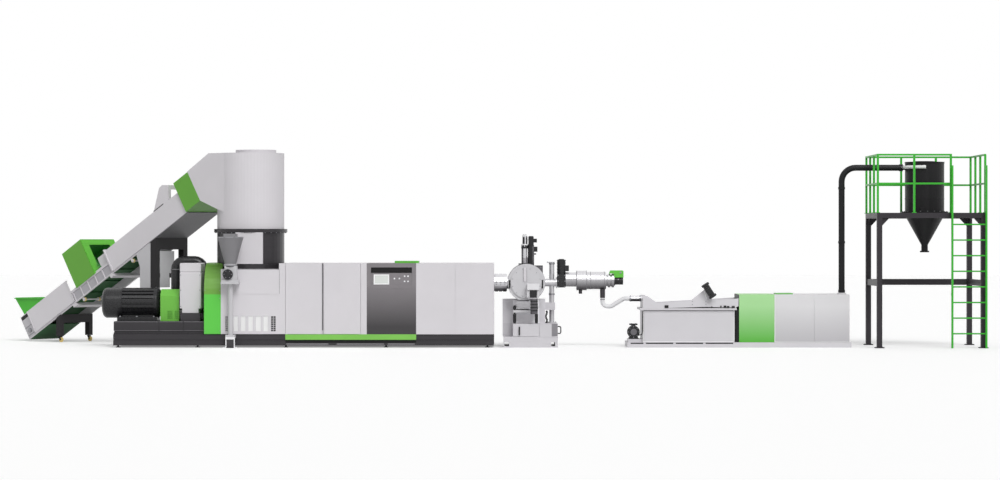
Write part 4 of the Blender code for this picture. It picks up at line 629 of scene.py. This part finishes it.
# Painted shade: a dark strip on the white post behind the gap between the two door leaves.
gap_shade = Piece("door_gap_shade", SEAM_AND_SHADE)
gap_shade.box(-3.4235, -3.4035, 0.029, 0.0347, 0.335, 1.620)
gap_shade.box(-3.4235, -3.4165, 0.023, 0.0295, 0.340, 1.615, 0.001)
gap_shade.done()
plinth = Piece("plinth_edges", UNDERPAN)
for left, right in ((-7.44, -6.579), (-6.563, -6.108), (-6.092, -5.702)):
    plinth.box(left, right, 0.0965, 0.0997, 0.488, 0.498)
    plinth.box(left, right, 0.0965, 0.0997, 0.322, 0.329)
plinth.done()
strip = Piece("base_lower_edge", UNDERPAN)
for left, right in ((-4.11, -3.30), (-3.14, -2.23), (-2.16, -1.64)):
    strip.box(left, right, 0.0165, 0.0197, 0.052, 0.080, 0.001)
strip.done()
band_bolts = Piece("band_bolts", BOLT)
for z in (0.32, 0.95, 1.10):
    for x in (-5.672, -5.392):
        face = -0.0003 if z < 1.03 else 0.62 - 0.62 * math.sqrt(1 - ((z - 1.03) / 0.597) ** 2) - 0.0003
        band_bolts.rod((x, face, z), (x, face - 0.005, z), 0.008, 6)
band_bolts.done()

# Tower: bolts under the drum's flange and hinges on the drum's door.
drum_bolts = Piece("drum_flange_bolts", BOLT)
for k in range(32):
    angle = 2 * math.pi * (k + 0.5) / 32
    x = TOWER_X + 0.686 * math.cos(angle)
    y = TOWER_Y + 0.686 * math.sin(angle)
    drum_bolts.rod((x, y, 2.2168), (x, y, 2.204), 0.011, 6)
drum_bolts.done()
door_parts = Piece("drum_door_fittings", BOLT)
for z in (1.75, 2.05):
    door_parts.rod((-5.098, 0.257, z - 0.045), (-5.098, 0.257, z + 0.045), 0.012, 12)
    door_parts.box(-5.104, -5.060, 0.2515, 0.2597, z - 0.03, z + 0.03, 0.001)
door_parts.done()

# Dosing: rim, clamp and knob of the valve, bolts of its foot.
dose = Piece("dosing_fittings", BOLT)
dose.ring(0.2445, 0.250, 2.112, 2.131, (FUNNEL_X, FUNNEL_Y, 0), "z", 48)
dose.ring(0.1255, 0.132, 1.575, 1.600, (FUNNEL_X, FUNNEL_Y, 0), "z", 32)
bolt_ring(dose, (KNOB_X, -0.3103, KNOB_Z), "-y", 0.070, 6, 0.008, 0.006)
for x in (-5.32, -5.02):
    dose.rod((x, -0.255, 1.2247), (x, -0.255, 1.208), 0.010, 6)
for x in (-5.275, -5.065):
    dose.rod((x, -0.235, 0.0152), (x, -0.235, 0.028), 0.012, 6)
dose.done()
knob = Piece("dosing_knob", MOTOR)
knob.turned([(0.002, -0.3105), (0.050, -0.3105), (0.046, -0.330), (0.020, -0.336), (0.002, -0.336)],
            (KNOB_X, 0, KNOB_Z), "y", 32)
knob.done()

# Melt filter: bolts, slide and rings on the drum, cable chain, rod on the stand, fittings of the ram and of
# the discharge motor.
filter_bolts = Piece("filter_bolts", BOLT)
bolt_ring(filter_bolts, (DRUM_X, 0.0197, DRUM_Z), "-y", 0.272, 12, 0.008, 0.007, math.pi / 12)
for x in (0.541, 0.734):
    for z in (0.973, 1.098):
        filter_bolts.rod((x, -0.1303, z), (x, -0.137, z), 0.008, 6)
filter_bolts.done()
slide = Piece("filter_slide", WHITE)
slide.box(0.452, 0.510, 0.006, 0.0197, 1.268, 1.535, 0.003)
slide.box(0.462, 0.500, 0.001, 0.0065, 1.29, 1.50, 0.002)
slide.done()
slide_edge = Piece("filter_slide_edges", SEAM_AND_SHADE)
for x in (0.4465, 0.5105):
    slide_edge.box(x, x + 0.0055, 0.008, 0.0197, 1.268, 1.535)
slide_edge.done()
drum_rim = Piece("filter_drum_rims", SEAM_AND_SHADE)
drum_rim.turned([(0.3602, 0.062), (0.3635, 0.064), (0.3635, 0.074), (0.3602, 0.076)],
                (DRUM_X, 0, DRUM_Z), "y", 64)
drum_rim.turned([(0.3602, 1.10), (0.3635, 1.102), (0.3635, 1.112), (0.3602, 1.114)],
                (DRUM_X, 0, DRUM_Z), "y", 64)
drum_rim.done()
chain = Piece("cable_chain", RUBBER)
for k in range(9):
    low = 0.4575 + 0.0265 * k
    lean = 0.012 * math.sin(k * 1.1)
    chain.box(0.880 + lean, 0.922 + lean, 0.60, 0.65, low, low + 0.022, 0.003)
    chain.box(0.892 + lean, 0.910 + lean, 0.612, 0.638, low + 0.018, low + 0.030)
chain.done()
stand = Piece("stand_fittings", BOLT)
stand.rod((0.915, 0.75, 1.6355), (1.065, 0.75, 1.6355), 0.0083, 12)
stand.rod((0.915, 0.75, 1.6355), (0.927, 0.75, 1.6355), 0.016, 12)
stand.ring(0.0503, 0.058, 1.595, 1.622, (STAND_X, SCREW_Y, 0), "z", 24)
stand.ring(0.0503, 0.060, 1.00, 1.03, (STAND_X, SCREW_Y, 0), "z", 24)
stand.ring(0.0503, 0.057, 0.76, 0.775, (STAND_X, SCREW_Y, 0), "z", 24)
bolt_ring(stand, (STAND_X, SCREW_Y, 0.4752), "z", 0.074, 6, 0.009, 0.008)
stand.done()
ram_parts = Piece("ram_fittings", RUBBER)
ram_parts.box(0.4405, 0.4774, 0.545, 0.60, 1.992, 2.127, 0.003)
ram_parts.box(0.5065, 0.5298, 0.553, 0.60, 1.992, 2.127, 0.003)
ram_parts.box(0.455, 0.505, 0.62, 0.6535, 1.992, 2.127, 0.003)
for k in range(8):
    angle = 2 * math.pi * (k + 0.5) / 8
    x = RAM_X + 0.058 * math.cos(angle)
    y = RAM_Y + 0.058 * math.sin(angle)
    ram_parts.rod((x, y, 1.9405), (x, y, 1.968), 0.011, 10)
ram_parts.done()
ram_light = Piece("ram_guides", BEZEL)
ram_light.ring(0.0505, 0.068, 1.9685, 1.987, (RAM_X, RAM_Y, 0), "z", 32)
ram_light.turned([(0.0352, 2.150), (0.043, 2.152), (0.043, 2.170), (0.0352, 2.172)], (RAM_X, RAM_Y, 0), "z", 32)
ram_light.box(0.5225, 0.541, 0.565, 0.635, 1.735, 1.900, 0.003)
ram_light.box(0.5305, 0.552, 0.565, 0.635, 1.990, 2.130, 0.003)
ram_light.done()
ram_dark = Piece("ram_motor_strips", SEAM_AND_SHADE)
ram_dark.box(0.630, 0.650, 0.549, 0.60, 1.62, 1.96, 0.003)
ram_dark.box(0.5225, 0.541, 0.568, 0.632, 1.6155, 1.735, 0.002)
ram_dark.done()
ram_bolts = Piece("ram_bolts", BOLT)
for x in (0.375, 0.625):
    for z in (1.475, 1.59):
        ram_bolts.rod((x, 0.4597, z), (x, 0.452, z), 0.010, 6)
for x in (0.66, 0.79):
    for z in (1.42, 1.54):
        ram_bolts.rod((x, 0.4797, z), (x, 0.472, z), 0.010, 6)
ram_bolts.done()
hang_rings = Piece("filter_motor_rings", MOTOR)
for z in (0.70, 0.76, 0.82, 0.88):
    hang_rings.turned([(0.0702, z), (0.074, z + 0.003), (0.074, z + 0.022), (0.0702, z + 0.025)],
                      (HANG_X, HANG_Y, 0), "z", 28)
hang_rings.turned([(0.012, 0.646), (0.058, 0.646), (0.062, 0.6517), (0.012, 0.6517)],
                  (HANG_X, HANG_Y, 0), "z", 28)
hang_rings.done()

# Pelletizer: heater bands' clamps, rings and bolts.
clamps = Piece("barrel_clamps", BOLT)
for x in (-0.0675, 0.0125, 0.0925):
    clamps.box(x - 0.022, x + 0.022, 0.56, 0.575, 1.232, 1.246, 0.002)
    for z in (1.20, 1.278):
        clamps.rod((x, 0.5745, z), (x, 0.562, z), 0.008, 6)
clamps.done()
pellet_rings = Piece("pelletizer_rings", SEAM_AND_SHADE)
for x, radius in ((1.4935, 0.1922), (1.682, 0.1922), (1.76, 0.1702), (2.03, 0.1702)):
    outer = radius + 0.004
    pellet_rings.turned([(radius, -0.004), (outer, -0.003), (outer, 0.003), (radius, 0.004)],
                        (x, SCREW_Y, SCREW_Z), "x", 40)
pellet_rings.done()
pellet_bolts = Piece("pelletizer_bolts", BOLT)
bolt_ring(pellet_bolts, (1.493, SCREW_Y, SCREW_Z), "-x", 0.168, 10, 0.010, 0.010)
for x in (1.125, 1.262):
    for z in (1.162, 1.27, 1.384):
        pellet_bolts.rod((x, 0.5997, z), (x, 0.590, z), 0.011, 6)
for x in (2.123, 2.2):
    pellet_bolts.rod((x, 0.6155, SCREW_Z), (x, 0.603, SCREW_Z), 0.013, 6)
pellet_bolts.rod((2.345, 0.6597, 1.437), (2.345, 0.652, 1.437), 0.020, 16)
pellet_bolts.rod((2.30, 0.6725, 1.30), (2.30, 0.662, 1.30), 0.013, 12)
pellet_bolts.done()
gear_rings = Piece("pelletizer_motor_rings", MOTOR)
for z in (1.43, 1.49, 1.55, 1.61, 1.66):
    gear_rings.turned([(0.0832, z), (0.0885, z + 0.003), (0.0885, z + 0.018), (0.0832, z + 0.021)],
                      (GEAR_X, SCREW_Y, 0), "z", 32)
gear_rings.turned([(0.002, 1.6853), (0.060, 1.6853), (0.050, 1.700), (0.002, 1.700)],
                  (GEAR_X, SCREW_Y, 0), "z", 32)
gear_rings.done()
cutter_rings = Piece("cutter_motor_rings", MOTOR)
for x in (2.262, 2.292, 2.322, 2.352):
    cutter_rings.turned([(0.0812, 0.0), (0.0835, 0.002), (0.0835, 0.010), (0.0812, 0.012)],
                        (x, SCREW_Y, SCREW_Z), "x", 36)
cutter_rings.done()

# Dewatering: slots in the skid, framed tank front, seal and clips of the sieve, the vibration motor that stands
# in for the CAD part's, bolts, rings on the pump, hose clips, cabinet edges, louvres and cables.
slots = Piece("skid_slots", DARK)
for left, right in ((2.513, 2.758), (2.806, 3.333), (3.381, 3.908), (3.954, 4.485)):
    slots.box(left + 0.0005, right - 0.0005, 0.004, 0.0297, 0.0705, 0.0935)
slots.done()
tank_frame = Piece("tank_frame", BEZEL)
for left, right, low, high in ((2.748, 4.511, 0.105, 0.121), (2.748, 2.762, 0.121, 0.718),
                               (4.497, 4.511, 0.121, 0.718)):
    tank_frame.box(left, right, 0.0345, 0.0397, low, high, 0.001)
tank_frame.done()
tank_seam = Piece("tank_seams", SEAM_AND_SHADE)
tank_seam.box(2.764, 4.495, 0.0365, 0.0397, 0.708, 0.7205)
tank_seam.box(2.764, 2.768, 0.0365, 0.0397, 0.123, 0.708)
tank_seam.done()
seal = Piece("sieve_seal", DARK)
SEAL_LOW = 0.7605
seal.plate([(3.25, SEAL_LOW), (4.50, SEAL_LOW), (4.50, 0.770), (3.95, 0.782), (3.90, 0.782)],
           "y", -0.004, -0.0003)
for left, right, high in ((3.165, 3.24, 0.815), (4.06, 4.085, 0.790), (4.235, 4.262, 0.805),
                          (4.30, 4.352, 0.808), (4.362, 4.410, 0.800), (4.455, 4.515, 0.800)):
    seal.box(left, right, -0.012, -0.0003, SEAL_LOW, high, 0.002)
seal.done()
shaker = Piece("vibration_motor_body", MOTOR)
LEAN = math.radians(-33)
shaker.space = LINE @ Matrix.Translation((4.012, -0.1003, 1.098)) @ Matrix.Rotation(LEAN, 4, "Y")
shaker.turned([(0.010, -0.154), (0.070, -0.154), (0.080, -0.146), (0.080, -0.112), (0.072, -0.106),
               (0.058, -0.104), (0.058, 0.104), (0.072, 0.106), (0.080, 0.112), (0.080, 0.146), (0.070, 0.154),
               (0.010, 0.154)], (0, 0, 0), "z", 40)
shaker.rod((0, 0, -0.149), (0, 0, 0.149), 0.0102, 12)
for height in (-0.075, -0.045, -0.015, 0.015, 0.045, 0.075):
    shaker.turned([(0.0555, height - 0.005), (0.062, height - 0.003), (0.062, height + 0.003),
                   (0.0555, height + 0.005)], (0, 0, 0), "z", 40)
shaker.box(-0.062, 0.050, 0.045, 0.0997, -0.098, 0.098, 0.004)
shaker.box(-0.038, 0.038, -0.088, -0.045, -0.042, 0.042, 0.008)
shaker.done("vibration_motor")
shaker_plate = Piece("shaker_plate", WHITE_WARM)
shaker_plate.plate([(3.90, 1.0905), (3.945, 1.125), (4.075, 0.93), (4.075, 0.79), (4.0205, 0.79),
                    (4.0205, 0.86), (3.985, 0.90), (3.9335, 1.078)], "y", 0.0003, 0.0197)
shaker_plate.plate([(3.98, 0.865), (4.02, 0.865), (4.02, 0.91), (3.98, 0.96)], "y", -0.004, -0.0003)
shaker_plate.done()
tank_bolts = Piece("dewatering_bolts", BOLT)
for x, z in ((3.70, 0.83), (3.70, 0.89), (3.96, 0.83), (3.96, 0.89)):
    tank_bolts.rod((x, -0.0003, z), (x, -0.008, z), 0.010, 6)
bolt_ring(tank_bolts, (PUMP_X, 0.1697, PUMP_Z), "-y", 0.100, 8, 0.008, 0.008)
bolt_ring(tank_bolts, (PUMP_X, 0.30, 0.4552), "z", 0.060, 4, 0.008, 0.007, math.pi / 4)
tank_bolts.done()
pump_face = Piece("water_pump_rings", PUMP_GREY)
pump_face.turned([(0.002, 0.134), (0.055, 0.134), (0.062, 0.1397), (0.002, 0.1397)],
                 (PUMP_X, 0, PUMP_Z), "y", 32)
pump_face.turned([(0.1182, 0.20), (0.1215, 0.203), (0.1215, 0.232), (0.1182, 0.235)],
                 (PUMP_X, 0, PUMP_Z), "y", 40)
pump_face.turned([(0.1182, 0.34), (0.1215, 0.343), (0.1215, 0.352), (0.1182, 0.355)],
                 (PUMP_X, 0, PUMP_Z), "y", 40)
pump_face.done()
hose_clips = Piece("hose_clips", BOLT)
hose_clips.turned([(0.0428, 0.90), (0.046, 0.902), (0.046, 0.918), (0.0428, 0.92)],
                  (1.9965, SCREW_Y, 0), "z", 24)
for x in (2.527, 2.715):
    hose_clips.turned([(0.0552, 0.0), (0.060, 0.002), (0.060, 0.018), (0.0552, 0.020)],
                      (x, SCREW_Y, HOSE_Z), "x", 28)
hose_clips.done()
edge = Piece("dryer_edges", BEZEL)
edge.box(5.2795, 5.292, -0.003, -0.0003, 0.104, 1.017, 0.001)
edge.box(5.293, 6.715, -0.003, -0.0003, 0.104, 0.112, 0.001)
edge.done()
louvres = Piece("blower_louvres", SEAM_AND_SHADE)
for k in range(9):
    low = 0.30 + 0.05 * k
    louvres.box(6.7232, 6.731, 0.35, 0.85, low, low + 0.018, 0.003)
louvres.done()
cable = Piece("tank_cable", RUBBER)
cable.tube([(4.548, 0.045, 0.715), (4.542, 0.035, 0.66), (4.536, 0.034, 0.55), (4.532, 0.034, 0.42),
            (4.536, 0.036, 0.28), (4.545, 0.045, 0.18), (4.548, 0.047, 0.106)], 0.009, 10)
cable.tube([(4.556, 0.045, 0.715), (4.553, 0.032, 0.58), (4.549, 0.032, 0.40), (4.552, 0.038, 0.22),
            (4.553, 0.047, 0.106)], 0.006, 8)
cable.tube([(2.744, 0.0295, 0.700), (2.744, 0.0295, 0.310), (2.738, 0.032, 0.268), (2.718, 0.060, 0.246),
            (2.685, 0.125, 0.238), (2.655, 0.185, 0.236)], 0.0095, 10)
cable.done()

# Silo: inlet that runs on around the shell, bolts of its ring and of the platform's feet, seams on the shell
# and couplings of the pipe.
inlet = Piece("silo_inlet_spout", BEZEL)
inlet_path = [(7.800, 0.560, 3.480)]
for degrees in (186, 198, 210, 222, 234, 246, 257, 266):
    angle = math.radians(degrees)
    inlet_path.append((SILO_X + 0.414 * math.cos(angle), SILO_Y + 0.414 * math.sin(angle), 3.480))
inlet.tube(inlet_path, 0.033, 14)
inlet.done()
silo_bolts = Piece("silo_bolts", BOLT)
bolt_ring(silo_bolts, (SILO_X, SILO_Y, 2.6202), "z", 0.432, 20, 0.010, 0.010)
for x in (7.26, 9.25):
    for y in (-0.30, 1.50):
        for a in (-0.07, 0.07):
            for b in (-0.07, 0.07):
                silo_bolts.rod((x + a, y + b, 0.0152), (x + a, y + b, 0.026), 0.009, 6)
silo_bolts.done()
silo_seams = Piece("silo_seams", SILO)
for z in (2.86, 3.20, 3.545):
    silo_seams.turned([(0.3802, z), (0.3835, z + 0.003), (0.3835, z + 0.015), (0.3802, z + 0.018)],
                      (SILO_X, SILO_Y, 0), "z", 56)
silo_seams.done()
pipe_rings = Piece("pipe_couplings", PIPE_BLACK)
for z in (1.055, 2.00, 3.05):
    pipe_rings.turned([(0.0602, z), (0.068, z + 0.004), (0.068, z + 0.046), (0.0602, z + 0.050)],
                      (PIPE_X, PIPE_Y, 0), "z", 32)
pipe_rings.turned([(0.0602, 0.0), (0.068, 0.004), (0.068, 0.036), (0.0602, 0.040)],
                  (7.745, PIPE_Y, 3.472), "x", 32)
pipe_rings.done()

# Camera, floor and light.
PICTURE_WIDTH = 1000
FOCAL_PIXELS = 3120
CAMERA_BACK = 60.0
CAMERA_HIGH = 2.069
SENSOR = 36.0
camera_data = bpy.data.cameras.new("camera")
camera_data.sensor_width = SENSOR
camera_data.lens = FOCAL_PIXELS / PICTURE_WIDTH * SENSOR
camera_data.clip_end = 500
camera = bpy.data.objects.new("camera", camera_data)
camera.location = LINE @ Vector((0, -CAMERA_BACK, CAMERA_HIGH))
camera.rotation_euler = (math.radians(90), 0, 0)
bpy.context.scene.collection.objects.link(camera)
bpy.context.scene.camera = camera
bpy.context.scene.view_settings.view_transform = "Standard"


def seen_directly(tree):
    """Socket that is 1 for a camera, glossy or transmission ray and 0 for the light that falls on things."""
    path = tree.nodes.new("ShaderNodeLightPath")
    found = path.outputs["Is Camera Ray"]
    for kind in ("Is Glossy Ray", "Is Transmission Ray"):
        either = tree.nodes.new("ShaderNodeMath")
        either.operation = "MAXIMUM"
        tree.links.new(found, either.inputs[0])
        tree.links.new(path.outputs[kind], either.inputs[1])
        found = either.outputs["Value"]
    return found


# Light: a pale sky, brighter in front than behind, and one broad soft lamp high at the front right. What is
# seen directly or in a reflection is plain white.
SKY_FRONT = 0.42
SKY_BACK = 0.37
FLOOR_GLOW = 0.24
LAMP_POWER = 1.9
LAMP_SPREAD = math.radians(34)
LAMP_TURN = (math.radians(48), 0, math.radians(20))
world = bpy.data.worlds.new("studio")
world.use_nodes = True
bpy.context.scene.world = world
tree = world.node_tree
soft = tree.nodes["Background"]
soft.inputs["Color"].default_value = (1, 1, 1, 1)
place = tree.nodes.new("ShaderNodeTexCoord")
split = tree.nodes.new("ShaderNodeSeparateXYZ")
tree.links.new(place.outputs["Generated"], split.inputs["Vector"])
sky = tree.nodes.new("ShaderNodeMapRange")
sky.inputs["From Min"].default_value = -0.7
sky.inputs["From Max"].default_value = 0.7
sky.inputs["To Min"].default_value = SKY_FRONT
sky.inputs["To Max"].default_value = SKY_BACK
tree.links.new(split.outputs["Y"], sky.inputs["Value"])
tree.links.new(sky.outputs["Result"], soft.inputs["Strength"])
seen = tree.nodes.new("ShaderNodeBackground")
seen.inputs["Color"].default_value = (1, 1, 1, 1)
seen.inputs["Strength"].default_value = 1.0
mix = tree.nodes.new("ShaderNodeMixShader")
tree.links.new(seen_directly(tree), mix.inputs["Fac"])
tree.links.new(soft.outputs["Background"], mix.inputs[1])
tree.links.new(seen.outputs["Background"], mix.inputs[2])
tree.links.new(mix.outputs["Shader"], tree.nodes["World Output"].inputs["Surface"])

sun_data = bpy.data.lights.new("studio_lamp", "SUN")
sun_data.energy = LAMP_POWER
sun_data.angle = LAMP_SPREAD
sun = bpy.data.objects.new("studio_lamp", sun_data)
sun.rotation_euler = LAMP_TURN
bpy.context.scene.collection.objects.link(sun)

floor_mesh = bpy.data.meshes.new("floor")
floor_mesh.from_pydata([(-90, -80, 0), (90, -80, 0), (90, 120, 0), (-90, 120, 0)], [], [(0, 1, 2, 3)])
floor = bpy.data.objects.new("floor", floor_mesh)
floor.location = (0, 0, -0.0005)
bpy.context.scene.collection.objects.link(floor)
floor_paint = bpy.data.materials.new("floor_white")
floor_paint.use_nodes = True
tree = floor_paint.node_tree
pale = tree.nodes["Principled BSDF"]
pale.inputs["Base Color"].default_value = (0.9, 0.9, 0.9, 1)
pale.inputs["Roughness"].default_value = 0.7
pale.inputs["Specular IOR Level"].default_value = 0.1
pale.inputs["Emission Color"].default_value = (1, 1, 1, 1)
lift = tree.nodes.new("ShaderNodeMath")
lift.operation = "MULTIPLY"
lift.inputs[1].default_value = FLOOR_GLOW
tree.links.new(seen_directly(tree), lift.inputs[0])
tree.links.new(lift.outputs["Value"], pale.inputs["Emission Strength"])
floor_mesh.materials.append(floor_paint)
